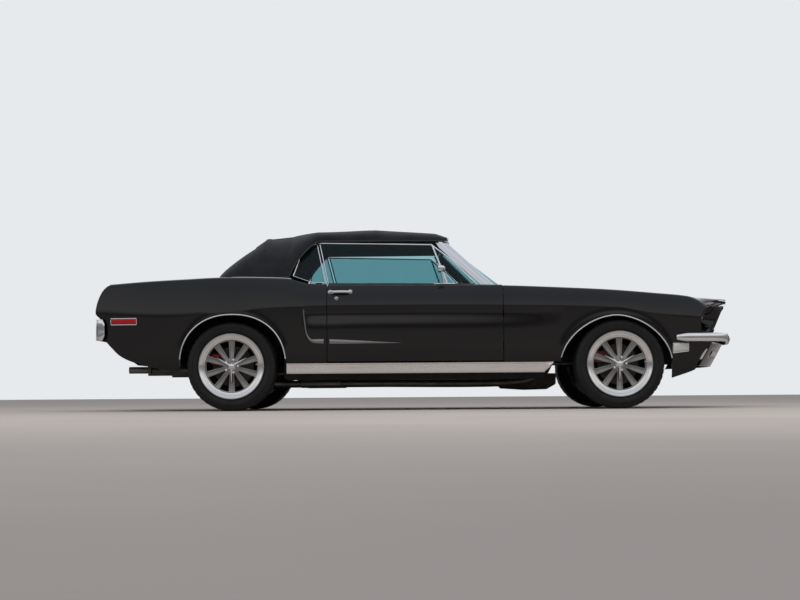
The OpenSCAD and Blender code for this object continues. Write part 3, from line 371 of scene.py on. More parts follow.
def join(*parts):
    """Several (points, faces) meshes as one."""
    verts, faces = [], []
    for v, f in parts:
        base = len(verts)
        verts += list(v)
        faces += [tuple(k + base for k in face) for face in f]
    return verts, faces


def moved(part, dx=0.0, dy=0.0, dz=0.0):
    return [(x + dx, y + dy, z + dz) for x, y, z in part[0]], part[1]


def turned(part, matrix):
    return [tuple(matrix @ Vector(p)) for p in part[0]], part[1]


def flipped(part):
    return [(x, -y, z) for x, y, z in part[0]], [tuple(reversed(f)) for f in part[1]]


def block(x, y, z):
    """A box given by its spans."""
    ring = [(y[0], z[0]), (y[1], z[0]), (y[1], z[1]), (y[0], z[1])]
    return loft([[(xx, a, b) for a, b in ring] for xx in x])


def frames(path):
    """Side and up directions along a path of points."""
    out = []
    side = None
    for i in range(len(path)):
        d = Vector(path[min(i + 1, len(path) - 1)]) - Vector(path[max(i - 1, 0)])
        d.normalize()
        if side is None:
            side = Vector((0, 0, 1)).cross(d)
            if side.length < 1e-3:
                side = Vector((0, 1, 0)).cross(d)
        side = (side - d * side.dot(d)).normalized()
        out.append((side.copy(), d.cross(side)))
    return out


def tube(path, r, n=12, ends=True):
    """A round bar along a path; r may be a list."""
    rings = []
    for i, (s, u) in enumerate(frames(path)):
        rr = r[i] if isinstance(r, (list, tuple)) else r
        rings.append([tuple(Vector(path[i]) + (s * cosd(360 * k / n) + u * sind(360 * k / n)) * rr)
                      for k in range(n)])
    return loft(rings, caps=ends)


def smooth_path(points, n=8):
    """A Catmull-Rom path through a few points."""
    pts = [Vector(p) for p in points]
    out = []
    for i in range(len(pts) - 1):
        a, b, c, d = pts[max(i - 1, 0)], pts[i], pts[i + 1], pts[min(i + 2, len(pts) - 1)]
        for k in range(n):
            t = k / n
            out.append(tuple(0.5 * ((2 * b) + (c - a) * t + (2 * a - 5 * b + 4 * c - d) * t * t
                                    + (3 * b - a - 3 * c + d) * t ** 3)))
    out.append(tuple(pts[-1]))
    return out


def lathe(profile, n=64, closed=False):
    """Turns (radius, y) points about the Y axis."""
    rings = [[(r * sind(360 * k / n), y, r * cosd(360 * k / n)) for k in range(n)]
             for r, y in profile]
    if closed:
        rings.append(rings[0])
        return loft(rings, caps=False)
    return loft(rings, caps=True)


def trim(path, width, height, off=0.0, n=6):
    """A half-round moulding lying on the side surface, along (x, z) points."""
    pts = [Vector((x, 0, z)) for x, z in path]
    rings = []
    for i, p in enumerate(pts):
        d = (pts[min(i + 1, len(pts) - 1)] - pts[max(i - 1, 0)]).normalized()
        across = Vector((-d.z, 0, d.x))
        w = width[i] if isinstance(width, (list, tuple)) else width
        ring = []
        for k in range(n + 1):
            a = 180 * k / n
            q = p + across * (w / 2 * cosd(a))
            ring.append((q.x, side_y(q.x, q.z) + off + height * sind(a), q.z))
        for s in (-1, 1):
            q = p + across * (w / 2 * s)
            ring.append((q.x, side_y(q.x, q.z) + off - 2, q.z))
        rings.append(ring)
    return loft(rings)


# ---- materials -----------------------------------------------------------------------

def noise(tree, scale, detail=3.0, rough=0.5, stretch=None, kind="noise"):
    """A 3-D texture in object space; returns its grey output."""
    coords = tree.nodes.new("ShaderNodeTexCoord")
    mapping = tree.nodes.new("ShaderNodeMapping")
    tree.links.new(coords.outputs["Object"], mapping.inputs["Vector"])
    if stretch:
        mapping.inputs["Scale"].default_value = stretch
    if kind == "noise":
        tex = tree.nodes.new("ShaderNodeTexNoise")
        tex.inputs["Detail"].default_value = detail
        tex.inputs["Roughness"].default_value = rough
        out = tex.outputs["Fac"]
    elif kind == "cells":
        tex = tree.nodes.new("ShaderNodeTexVoronoi")
        out = tex.outputs["Distance"]
    else:
        tex = tree.nodes.new("ShaderNodeTexWave")
        tex.bands_direction = kind
        tex.inputs["Distortion"].default_value = 0.0
        out = tex.outputs["Fac"]
    tex.inputs["Scale"].default_value = scale
    tree.links.new(mapping.outputs["Vector"], tex.inputs["Vector"])
    return out


def ramp(tree, value, low, high):
    node = tree.nodes.new("ShaderNodeMapRange")
    tree.links.new(value, node.inputs["Value"])
    node.inputs["From Min"].default_value = 0.3
    node.inputs["From Max"].default_value = 0.7
    node.inputs["To Min"].default_value = low
    node.inputs["To Max"].default_value = high
    return node.outputs["Result"]


def mixed(tree, factor, a, b):
    node = tree.nodes.new("ShaderNodeMix")
    node.data_type = "RGBA"
    tree.links.new(factor, node.inputs[0])
    node.inputs[6].default_value = (*a, 1)
    node.inputs[7].default_value = (*b, 1)
    return node.outputs[2]


def combined(tree, op, a, b):
    node = tree.nodes.new("ShaderNodeMath")
    node.operation = op
    for k, v in enumerate((a, b)):
        if isinstance(v, (int, float)):
            node.inputs[k].default_value = v
        else:
            tree.links.new(v, node.inputs[k])
    return node.outputs[0]


def material(name, dark, light, rough, blotch=6.0, grain=300.0, bump=0.1, depth=0.0004,
             stretch=None, height=None, **shader):
    """Principled material: two tones by noise, varied roughness and a fine bump."""
    mat = bpy.data.materials.new(name)
    mat.use_nodes = True
    tree = mat.node_tree
    bsdf = tree.nodes["Principled BSDF"]
    tone = ramp(tree, noise(tree, blotch, 4.0), 0.0, 1.0)
    tree.links.new(mixed(tree, tone, dark, light), bsdf.inputs["Base Color"])
    fine = noise(tree, grain, 2.0, stretch=stretch)
    tree.links.new(ramp(tree, noise(tree, blotch * 2.3, 5.0), *rough), bsdf.inputs["Roughness"])
    if height:
        fine = height(tree)
    if bump:
        node = tree.nodes.new("ShaderNodeBump")
        node.inputs["Strength"].default_value = bump
        node.inputs["Distance"].default_value = depth
        tree.links.new(fine, node.inputs["Height"])
        tree.links.new(node.outputs["Normal"], bsdf.inputs["Normal"])
    for key, value in shader.items():
        bsdf.inputs[key.replace("_", " ")].default_value = value
    return mat


def weave(scale):
    """Height of a plain weave: crossed sine bands."""
    def build(tree):
        a = noise(tree, scale, kind="X")
        b = noise(tree, scale, kind="Y")
        c = noise(tree, scale, kind="Z")
        return combined(tree, "ADD", combined(tree, "MULTIPLY", a, b), c)
    return build


def leather(scale):
    def build(tree):
        return noise(tree, scale, kind="cells")
    return build


def see_through(name, tint, clear):
    """Glass as a glossy coat over tinted transparency, so that it lights what is behind."""
    mat = bpy.data.materials.new(name)
    mat.use_nodes = True
    tree = mat.node_tree
    bsdf = tree.nodes["Principled BSDF"]
    bsdf.inputs["Base Color"].default_value = (*[0.02 * t for t in tint], 1)
    bsdf.inputs["IOR"].default_value = 1.5
    tree.links.new(ramp(tree, noise(tree, 3.0), 0.015, 0.035), bsdf.inputs["Roughness"])
    node = tree.nodes.new("ShaderNodeBsdfTransparent")
    node.inputs["Color"].default_value = (*tint, 1)
    mix = tree.nodes.new("ShaderNodeMixShader")
    mix.inputs[0].default_value = clear
    tree.links.new(bsdf.outputs[0], mix.inputs[1])
    tree.links.new(node.outputs[0], mix.inputs[2])
    tree.links.new(mix.outputs[0], tree.nodes["Material Output"].inputs["Surface"])
    return mat


PAINT = material("black_paint", (0.0012, 0.0012, 0.0014), (0.0024, 0.0024, 0.0027),
                 (0.14, 0.24), blotch=2.0, grain=900.0, bump=0.012, depth=0.0002,
                 Coat_Weight=1.0, Coat_Roughness=0.02, Coat_IOR=1.42,
                 Specular_IOR_Level=0.03)
UNDER = material("underbody_paint", (0.004, 0.004, 0.004), (0.010, 0.009, 0.0085),
                 (0.6, 0.85), blotch=5.0, grain=90.0, bump=0.4, depth=0.001,
                 Specular_IOR_Level=0.2)
IRON = material("cast_iron", (0.05, 0.045, 0.042), (0.12, 0.11, 0.10), (0.5, 0.75),
                blotch=14.0, grain=220.0, bump=0.5, depth=0.0008, Metallic=0.7)
STEEL = material("exhaust_steel", (0.10, 0.095, 0.09), (0.20, 0.19, 0.175), (0.35, 0.6),
                 blotch=7.0, grain=150.0, bump=0.2, depth=0.0004, Metallic=0.9)
ENGINE = material("engine_paint", (0.05, 0.055, 0.06), (0.11, 0.115, 0.12), (0.4, 0.65),
                  blotch=8.0, grain=140.0, bump=0.4, depth=0.0008, Metallic=0.3)
CHROME = material("chrome_plate", (0.70, 0.71, 0.72), (0.78, 0.78, 0.79), (0.03, 0.09),
                  blotch=5.0, grain=500.0, bump=0.015, depth=0.0002, Metallic=1.0)
POLISHED = material("polished_alloy", (0.66, 0.66, 0.65), (0.76, 0.76, 0.75), (0.10, 0.18),
                    blotch=9.0, grain=420.0, bump=0.05, depth=0.0002, Metallic=1.0)
GUNMETAL = material("gunmetal_alloy", (0.21, 0.205, 0.20), (0.28, 0.275, 0.265), (0.30, 0.42),
                    blotch=12.0, grain=600.0, bump=0.12, depth=0.0003, Metallic=0.8)
BRUSHED = material("brushed_rocker", (0.80, 0.77, 0.74), (0.84, 0.81, 0.78), (0.24, 0.3),
                   blotch=2.0, grain=300.0, bump=0.004, depth=0.0002, stretch=(0.02, 1, 6),
                   Metallic=1.0)
SATIN = material("satin_ornament", (0.22, 0.22, 0.225), (0.28, 0.28, 0.285), (0.25, 0.35),
                 blotch=6.0, grain=400.0, bump=0.03, depth=0.0002, Metallic=1.0)
RUBBER = material("tyre_rubber", (0.004, 0.004, 0.004), (0.008, 0.0078, 0.0075), (0.5, 0.7),
                  blotch=9.0, grain=380.0, bump=0.3, depth=0.0005, Specular_IOR_Level=0.28)
SEAL = material("black_rubber", (0.01, 0.01, 0.01), (0.02, 0.02, 0.02), (0.45, 0.65),
                blotch=14.0, grain=420.0, bump=0.2, depth=0.0004)
MESH = material("grille_black", (0.012, 0.012, 0.012), (0.03, 0.03, 0.03), (0.35, 0.5),
                blotch=20.0, grain=400.0, bump=0.15, depth=0.0003)
CLOTH = material("top_cloth", (0.007, 0.0075, 0.0085), (0.014, 0.0148, 0.0165), (0.82, 0.95),
                 blotch=5.0, bump=0.35, depth=0.0006, height=weave(320.0),
                 Sheen_Weight=0.12, Sheen_Roughness=0.4, Specular_IOR_Level=0.25)
VINYL = material("black_vinyl", (0.012, 0.012, 0.013), (0.022, 0.022, 0.023), (0.38, 0.52),
                 blotch=7.0, bump=0.35, depth=0.0006, height=leather(420.0))
CARPET = material("carpet", (0.012, 0.012, 0.013), (0.028, 0.028, 0.029), (0.9, 1.0),
                  blotch=10.0, grain=700.0, bump=0.8, depth=0.002)
GLASS = see_through("window_glass", (0.70, 0.91, 0.94), 0.80)
LENS = see_through("lamp_glass", (0.93, 0.94, 0.95), 0.55)
RED = material("red_lens", (0.24, 0.003, 0.004), (0.36, 0.006, 0.007), (0.12, 0.2),
               blotch=6.0, bump=0.5, depth=0.001,
               height=lambda tree: noise(tree, 90.0, kind="X"), Coat_Weight=0.3,
               Specular_IOR_Level=0.2)
AMBER = material("pale_lens", (0.42, 0.41, 0.38), (0.55, 0.54, 0.50), (0.08, 0.18),
                 blotch=6.0, bump=0.5, depth=0.001,
                 height=lambda tree: noise(tree, 110.0, kind="X"), Coat_Weight=0.6)
CALIPER = material("red_caliper", (0.30, 0.012, 0.01), (0.42, 0.02, 0.016), (0.3, 0.5),
                   blotch=18.0, grain=260.0, bump=0.3, depth=0.0005)
PLASTIC = material("dash_plastic", (0.014, 0.014, 0.015), (0.024, 0.024, 0.025),
                    (0.45, 0.6), blotch=9.0, bump=0.3, depth=0.0005, height=leather(520.0))
DIAL = material("dial_face", (0.02, 0.02, 0.022), (0.035, 0.035, 0.04), (0.2, 0.35),
                blotch=30.0, grain=200.0, bump=0.05, depth=0.0002, Coat_Weight=0.5)

for node_name, mat in (
        ("floor_pan", UNDER), ("front_frame", UNDER), ("rear_frame", UNDER),
        ("engine", ENGINE), ("rear_axle", IRON), ("front_suspension", IRON)):
    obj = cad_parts[node_name]
    if not obj.material_slots:
        obj.data.materials.append(mat)
    for s in obj.material_slots:
        s.material = mat

# ---- fenders and quarter panels ------------------------------------------------------

N_LOW, N_UP, N_RND, N_TOP = 16, 9, 4, 8
ROUND_R = 15.0
LAST = 1 + N_LOW + N_UP + N_RND + N_TOP + 2


def bezier(a, b, c, t):
    return [lerp(lerp(p, q, t), lerp(q, r, t), t) for p, q, r in zip(a, b, c)]


def side_point(x, j, low, top):
    """A point of the side skin: row 0 is the turned lower lip, the last rows the inner edge."""
    zc, zs = crease_z(x), shoulder_z(x)
    z0 = low(x)
    if j == 0:
        return (x, side_y(x, z0) - 18, z0 + 1)
    k = j - 1
    if k <= N_LOW:
        z = z0 + (zc - z0) * (1 - (1 - k / N_LOW) ** 1.5)
        return (x, side_y(x, z), z)
    k -= N_LOW
    if k <= N_UP:
        z = lerp(zc, zs - ROUND_R, k / N_UP)
        return (x, side_y(x, z), z)
    k -= N_UP
    v0 = ROUND_R / 60
    if k <= N_RND:
        a = (side_y(x, zs - ROUND_R), zs - ROUND_R)
        b = (side_y(x, zs), zs)
        y, z = bezier(a, b, top(x, v0), k / N_RND)
        return (x, y, z)
    k -= N_RND
    y, z = top(x, v0 + (1 - v0) * min(1, k / N_TOP))
    if k > N_TOP:
        z -= 5 if k == N_TOP + 1 else 26
        y -= 1.5
    return (x, y, z)


def row_share(x, j, low):
    """Height of a row as a share from the lower edge to the shoulder."""
    z = side_point(x, j, low, lambda xx, v: (side_y(xx, shoulder_z(xx)), shoulder_z(xx)))[2]
    return clamp((z - low(x)) / (shoulder_z(x) - low(x)))


def fender_top(x, v):
    in_y = hood_half(x) + GAP
    return (lerp(side_y(x, shoulder_z(x)), in_y, v),
            lerp(shoulder_z(x), hood_edge_z(x), sind(90 * v)))


FENDER_FRONT = [(0, -392), (0.22, -338), (0.42, -268), (0.54, -344), (0.61, -353),
                (0.79, -350), (1, -307)]


def fender_front(j):
    k = j - 1 - N_LOW - N_UP
    if k <= 0:
        return X_NOSE + curve(FENDER_FRONT, row_share(X_NOSE - 340, j, fender_low))
    v = clamp((k - N_RND) / N_TOP) if k > N_RND else 0
    return lerp(X_NOSE - 307, X_NOSE - 142, v ** 0.8)


def quarter_top(x, v):
    zs = shoulder_z(x)
    return (lerp(side_y(x, zs), quarter_in(x), v), zs + 4 * sind(180 * v) - 4 * v)


QUARTER_REAR = [(0, 90), (0.22, 66), (0.34, 60), (0.45, 18), (0.56, 19), (0.67, 28),
                (0.78, 43), (0.89, 66), (1, 110)]


def quarter_rear(j):
    k = j - 1 - N_LOW - N_UP
    if k <= 0:
        return X_TAIL + curve(QUARTER_REAR, row_share(X_TAIL + 80, j, quarter_low))
    return X_TAIL + 110


def spread(a, b, n):
    return [lerp(a, b, i / n) for i in range(n)]


ARCH_STEPS = [6 * k for k in range(31)]


def fender_grid():
    xc, a = ARCH_F[0], ARCH_F[1]
    rows = []
    for j in range(LAST):
        xs = (spread(DOOR_FRONT + GAP, xc - a - 5, 16)
              + [xc - a - 4] + [xc - a * cosd(s) for s in ARCH_STEPS] + [xc + a + 4]
              + [lerp(xc + a + 10, fender_front(j), k / 14) for k in range(15)])
        rows.append([side_point(x, j, fender_low, fender_top) for x in xs])
    return rows


def quarter_grid():
    xc, a = ARCH_R[0], ARCH_R[1]
    rows = []
    for j in range(LAST):
        xs = (spread(quarter_rear(j), xc - a - 5, 22)
              + [xc - a - 4] + [xc - a * cosd(s) for s in ARCH_STEPS] + [xc + a + 4]
              + [lerp(xc + a + 10, DOOR_REAR - GAP, k / 14) for k in range(15)])
        rows.append([side_point(x, j, quarter_low, quarter_top) for x in xs])
    return rows


OUT = (0, 1, 0.25)
fender = skin(turned_edge(fender_grid(), OUT, 22, last=False), 4, OUT)
quarter = skin(turned_edge(quarter_grid(), OUT, 22, first=False), 4, OUT)
both("fender_skin", fender, PAINT, "body_paint", "front_fender_{}", bevel=1.0)
both("quarter_skin", quarter, PAINT, "body_paint", "quarter_panel_{}", bevel=1.0)


def arch_path(arch, low, start, end, n=44):
    """Points along the edge of an arch, from the front end to the rear one."""
    xc, a, b, _ = arch
    out = []
    for k in range(n + 1):
        x = xc + a * 0.9995 * cosd(lerp(start, end, k / n))
        out.append((x, max(low(x), arch_z(x, arch))))
    return out


front_lip = arch_path(ARCH_F, fender_low, 8, 170)
rear_lip = arch_path(ARCH_R, quarter_low, 6, 174)
both("front_arch_lip", trim(front_lip, 9, 3.5), CHROME, "chrome")
both("rear_arch_lip", trim(rear_lip, 9, 3.5), CHROME, "chrome")

# ---- doors ---------------------------------------------------------------------------

DOOR_IN = 752.1


def door_grid():
    rows = []
    cols = 40
    for j in range(1 + N_LOW + N_UP + N_RND + 6):
        line = []
        for i in range(cols + 1):
            x = lerp(DOOR_REAR, DOOR_FRONT, i / cols)
            zs = shoulder_z(x)
            in_y = glass_y(BELT_Z) + 8
            line.append(side_point(
                x, j, lambda xx: DOOR_LOW,
                lambda xx, v: (lerp(side_y(xx, zs), in_y, clamp(v * 1.6)), zs)))
        rows.append(line)
    return rows


door_rows = turned_edge(door_grid(), OUT, 16)
door_skin = skin(door_rows, 3, OUT)
inner_x = (DOOR_REAR + 12, DOOR_FRONT - 70)
card_rows = []
for k in range(15):
    z = lerp(DOOR_LOW + 8, BELT_Z - 22, k / 14)
    pleat = 3.0 if k % 2 and 4 < k < 12 else 0.0
    card_rows.append([(lerp(*inner_x, i / 24), DOOR_IN + 2 - pleat, z) for i in range(25)])
card = skin(card_rows, 5, (0, -1, 0))
edge_rows = [[(lerp(DOOR_REAR, inner_x[0], v), lerp(side_y(DOOR_REAR, z) - 14, DOOR_IN, v), z)
              for v in (0, 0.5, 1)] for z in [lerp(DOOR_LOW + 3, BELT_Z - 5, k / 12)
                                             for k in range(13)]]
front_rows = [[(lerp(DOOR_FRONT, inner_x[1], v), lerp(side_y(DOOR_FRONT, z) - 14, DOOR_IN, v), z)
               for v in (0, 0.25, 0.5, 0.75, 1)] for z in [lerp(DOOR_LOW + 3, BELT_Z - 10, k / 12)
                                                          for k in range(13)]]
low_rows = [[(lerp(lerp(DOOR_REAR, DOOR_FRONT, u), lerp(*inner_x, u), v),
              lerp(side_y(lerp(DOOR_REAR, DOOR_FRONT, u), DOOR_LOW) - 14, DOOR_IN, v),
              DOOR_LOW + 3) for v in (0, 0.5, 1)] for u in [k / 20 for k in range(21)]]
top_rows = [[(x, lerp(glass_y(BELT_Z) + 10, DOOR_IN, v), shoulder_z(x) - 4 - 14 * v * v)
             for v in [k / 5 for k in range(6)]] for x in [lerp(*inner_x, k / 20)
                                                          for k in range(21)]]
jambs = join(skin(edge_rows, 2, (-1, 0, 0)), skin(front_rows, 2, (1, 0, 0)),
             skin(low_rows, 2, (0, 0, -1)), skin(top_rows, 2, (0, 0, 1)))
HINGE = (DOOR_FRONT + 60, 830.1)


def hinge_strap(z):
    pts = [(HINGE[0] + 4, HINGE[1]), (HINGE[0] + 4, HINGE[1] - 52),
           (HINGE[0] - 130, HINGE[1] - 62)]
    rings = []
    for (x, y), w in zip(pts, ((1, 0, 0), (0.7, 0.7, 0), (0, 1, 0))):
        rings.append([tuple(Vector((x, y, z)) + Vector(w) * s * 5 + Vector((0, 0, h * 16)))
                      for s, h in ((-1, -1), (1, -1), (1, 1), (-1, 1))])
    knuckle = turned(lathe([(0.01, -18), (10, -18), (10, 18), (0.01, 18)], 24),
                     Matrix.Rotation(math.radians(90), 3, "X"))
    return join(loft(rings), moved(knuckle, HINGE[0], HINGE[1], z))


straps = join(hinge_strap(450), hinge_strap(680))
armrest = skin([[(lerp(-420, 60, i / 16), DOOR_IN - 4 - 42 * sind(clamp(i / 16) * 180) ** 0.35
                  * (0.35 + 0.65 * cosd(a)), 620 + 26 * sind(a))
                 for a in range(-90, 91, 20)] for i in range(17)], 4, (0, -1, 0))


def handle_bar(x0, x1, z, y0):
    """A chrome pull with a rounded grip and two feet."""
    path = smooth_path([(x0, y0 - 4, z), (x0 + 10, y0 + 14, z), (x0 + 40, y0 + 22, z + 2),
                        (x1 - 40, y0 + 22, z + 2), (x1 - 10, y0 + 14, z), (x1, y0 - 4, z)], 6)
    r = [6 + 3 * sind(180 * i / (len(path) - 1)) for i in range(len(path))]
    return tube(path, r, 12)


def button(x, z, r, out):
    y = side_y(x, z)
    return moved(lathe([(r, -3), (r, out - 1.5), (r - 1.5, out), (0.01, out + 0.5)], 28), x, y, z)


door_y = side_y(-565, 835)
handle = join(handle_bar(-640, -495, 836, door_y),
              moved(lathe([(17, -2), (17, 3), (13, 6), (0.01, 6.5)], 28), -640, door_y, 834),
              moved(lathe([(15, -2), (15, 3), (11, 6), (0.01, 6.5)], 28), -500, door_y, 838),
              button(-596, 790, 13, 10),
              button(-622, 836, 11, 26))
crank = join(tube([(130, DOOR_IN - 4, 560), (130, DOOR_IN - 22, 560)], 9, 14),
             tube([(130, DOOR_IN - 20, 560), (60, DOOR_IN - 26, 548)], [7, 5], 12),
             tube([(60, DOOR_IN - 26, 548), (60, DOOR_IN - 52, 548)], [8, 10], 14),
             tube([(-300, DOOR_IN - 4, 700), (-300, DOOR_IN - 18, 700)], 8, 14),
             tube([(-300, DOOR_IN - 18, 700), (-370, DOOR_IN - 24, 700)], [6, 4], 12))


def seam_trim(x0, x1, zf, w, h, off=0.0, n=40):
    return trim([(lerp(x0, x1, k / n), zf(lerp(x0, x1, k / n))) for k in range(n + 1)], w, h, off)


belt_trim = seam_trim(DOOR_REAR + 3, DOOR_FRONT - 3, lambda x: shoulder_z(x) - 9, 12, 2.5)
hook = [(-826, 710), (-822, 640), (-812, 565), (-798, 520), (-776, 496), (-749, 489)]
spear = [(lerp(-749, -131, k / 30), lerp(489, 473, k / 30)) for k in range(31)]
spear_door = [p for p in spear if p[0] > DOOR_REAR + 4]
spear_rear = [p for p in spear if p[0] < DOOR_REAR - GAP - 2]
taper = [34 * (1 - k / (len(spear_door) - 1)) ** 0.9 + 3 for k in range(len(spear_door))]
scoop = [(p[0], p[2]) for p in smooth_path([(x, 0, z) for x, z in hook + spear_rear[2:]], 5)]
wide = [lerp(15, 37, ease(1.8 * k / (len(scoop) - 1) - 0.6)) for k in range(len(scoop))]
both("door_skin", door_skin, PAINT, "body_paint", "door_{}", "door_{}", bevel=0.8)
for name, part, mat, slot, bevel in (
        ("door_jambs", jambs, PAINT, "body_paint", 0),
        ("door_card", card, VINYL, "seat_vinyl", 1.5),
        ("door_hinges", straps, IRON, "dark_iron", 0.8),
        ("armrest", armrest, VINYL, "seat_vinyl", 0),
        ("door_handle", handle, CHROME, "chrome", 0),
        ("window_crank", crank, CHROME, "chrome", 0),
        ("door_belt_trim", belt_trim, SEAL, "grille_black", 0),
        ("side_spear", trim(spear_door, taper, 9), SATIN, "body_paint", 0)):
    both(name, part, mat, slot, body="door_{}", bevel=bevel)
both("side_scoop", trim(scoop, wide, 13), SATIN, "body_paint")

# ---- hood, cowl, filler and trunk lid ------------------------------------------------

def nose_x(y):
    return X_NOSE - 64 - 78 * min(1, abs(y) / (HALF_W - 280)) ** 2.2


def fine(a, b, n):
    return [lerp(a, b, i / n) for i in range(n + 1)]


def hood_point(u, v):
    x = lerp(HOOD_REAR, nose_x(v * hood_half(X_FA)), u)
    y = v * hood_half(x)
    rib = 5 * math.exp(-((abs(y) - 330) / 60) ** 2) * ease((0.9 - u) * 4) * ease(u * 5)
    return (x, y, hood_z(x, y) - 10 * u ** 8 + rib - 5)


hood_rows = [[hood_point(u, v) for v in fine(-1, 1, 48)] for u in fine(0, 1, 44)]
hood_rows = [[(p[0], p[1], p[2] + 5 * ease(min(u, 1) * 40) if 0 < j < 48 else p[2] + 3)
              for j, p in enumerate(r)] for u, r in zip(fine(0, 1, 44), hood_rows)]
UP = (0, 0, 1)
hood_rows = turned_edge(hood_rows, UP, 16)
front_lip_row = [(p[0] + 1, p[1], p[2] - 16) for p in hood_rows[-1]]
rear_lip_row = [(p[0], p[1], p[2] - 14) for p in hood_rows[0]]
piece("hood_skin", *skin([rear_lip_row] + hood_rows + [front_lip_row], 3, UP), PAINT, "hood",
      "body_paint", "hood", bevel=0.8)
piece("hood_lip", *tube([(p[0] + 3, p[1], p[2] - 5) for p in hood_rows[-1][2:-2]], 5, 10), CHROME,
      "hood", "chrome")


def arm(pin, y, top, face):
    """A curved hinge arm from a pin up to a lid; face 1 reaches back, -1 forward."""
    outline = [(0, 0), (0, -40), (-9, -64), (-40, -76), (-109, -81), (-135, -62), (-151, -28),
               (-151, top)]
    path = smooth_path([(pin[0] + px * face, y, pin[1] + pz) for px, pz in outline], 5)
    rings = []
    for i, p in enumerate(path):
        d = Vector(path[min(i + 1, len(path) - 1)]) - Vector(path[max(i - 1, 0)])
        across = Vector((d.z, 0, -d.x)).normalized() * 9
        rings.append([(p[0] + s * across.x, p[1] + t, p[2] + s * across.z)
                      for s, t in ((-1, -6), (1, -6), (1, 6), (-1, 6))])
    return join(loft(rings), moved(lathe([(0.01, -6), (16, -6), (16, 6), (0.01, 6)], 28),
                                   pin[0], y, pin[1]))


HOOD_PIN, DECK_PIN = (644.5, 804.7), (LID_FRONT + 100, 882.5)
both("hood_arm", arm(HOOD_PIN, 630.5, 42, -1), IRON, "dark_iron", body="hood", bevel=1)
both("decklid_arm", arm(DECK_PIN, 554.5, 40, 1), IRON, "dark_iron", body="decklid", bevel=1)


def screen_foot_x(v):
    return DOOR_FRONT + 61 - 140 * abs(v) ** 2.2


def screen_head_x(v):
    return HEADER_X + 4 - 46 * abs(v) ** 2.2


FOOT_Z, FOOT_Y = shoulder_z(DOOR_FRONT), HALF_W - 212
HEAD_Z, HEAD_Y = ROOF_Z - 100, HALF_W - 338


def cowl_point(u, v):
    y = v * (hood_half(HOOD_REAR) - 2)
    x = lerp(screen_foot_x(v) + 8, HOOD_REAR - GAP - 1, u)
    return (x, y, hood_z(HOOD_REAR, y) - 6 - 4 * (u < 0.05))


cowl_rows = [[cowl_point(u, v) for v in fine(-1, 1, 40)] for u in fine(0, 1, 10)]
cowl_rows.append([(p[0], p[1], p[2] - 14) for p in cowl_rows[-1]])
piece("cowl_skin", *skin(cowl_rows, 3, UP), PAINT, "body_shell", "body_paint", "cowl_panel",
      bevel=0.8)
louvres = join(*[block((HOOD_REAR - 62, HOOD_REAR - 26), (y - 5, y + 5),
                       (hood_z(HOOD_REAR, y) - 7, hood_z(HOOD_REAR, y) - 4.6))
                 for y in range(-500, 501, 25) if abs(y) > 90])
piece("cowl_louvres", *louvres, MESH, "body_shell", "grille_black", bevel=0.8)


def filler_front(v):
    y = abs(v) * (HALF_W - 180)
    return BACK_X + FOLD - FOLD * (1 - min(1, y / (HALF_W - 165)) ** 2.5) ** 0.4 - 6


def filler_point(u, v):
    x = lerp(filler_front(v), LID_FRONT + GAP, u)
    y = v * (quarter_in(x) - 0.6)
    return (x, y, deck_z(x, y))


filler_rows = [[filler_point(u, v) for v in fine(-1, 1, 56)] for u in fine(0, 1, 12)]
filler_rows.append([(p[0], p[1], p[2] - 16) for p in filler_rows[-1]])
piece("deck_filler_skin", *skin(filler_rows, 3, UP), PAINT, "body_shell", "body_paint",
      "deck_filler", bevel=0.8)


def lid_point(u, v):
    if u <= 1:
        x = lerp(LID_FRONT, LID_REAR - 6, u)
        y = v * (quarter_in(x) - GAP)
        return (x, y, deck_z(x, y))
    x = LID_REAR - 6
    y = v * (quarter_in(x) - GAP)
    t = u - 1
    return (x - 12 * sind(90 * min(1, 2 * t)) - 4 * t, y,
            deck_z(x, y) - 12 * (1 - cosd(90 * min(1, 2 * t))) - 30 * max(0, t - 0.5) * 2)


lid_rows = [[lid_point(u, v) for v in fine(-1, 1, 48)]
            for u in fine(0, 1, 24) + [1.1, 1.2, 1.3, 1.4, 1.5, 1.75, 2]]
lid_rows = turned_edge(lid_rows, UP, 14)
lid_rows.insert(0, [(p[0], p[1], p[2] - 14) for p in lid_rows[0]])
piece("decklid_skin", *skin(lid_rows, 3, UP), PAINT, "decklid", "body_paint", "decklid",
      bevel=0.8)

# ---- nose ----------------------------------------------------------------------------

LAMP_X, LAMP_Y, LAMP_Z, LAMP_R = X_NOSE - 350, HALF_W - 176, AXLE_Z + 320, 85.0
NOSE_LOW, NOSE_IN = LAMP_Z - 92, HALF_W - 285
CHEEK_OUT = side_w(X_NOSE - 330) - 56


def nose_front_x(y):
    y = abs(y)
    if y < NOSE_IN:
        return X_NOSE - 92 - 60 * (y / NOSE_IN) ** 2
    return lerp(X_NOSE - 152, X_NOSE - 322, (y - NOSE_IN) / (HALF_W - 68 - NOSE_IN))


def nose_lean(z):
    """How far the nose slants back below its top."""
    return 78 * clamp(1 - (z - NOSE_LOW) / 180)


def nose_point(y, z, back=0.0):
    return (nose_front_x(y) - nose_lean(z) - back, y, z)


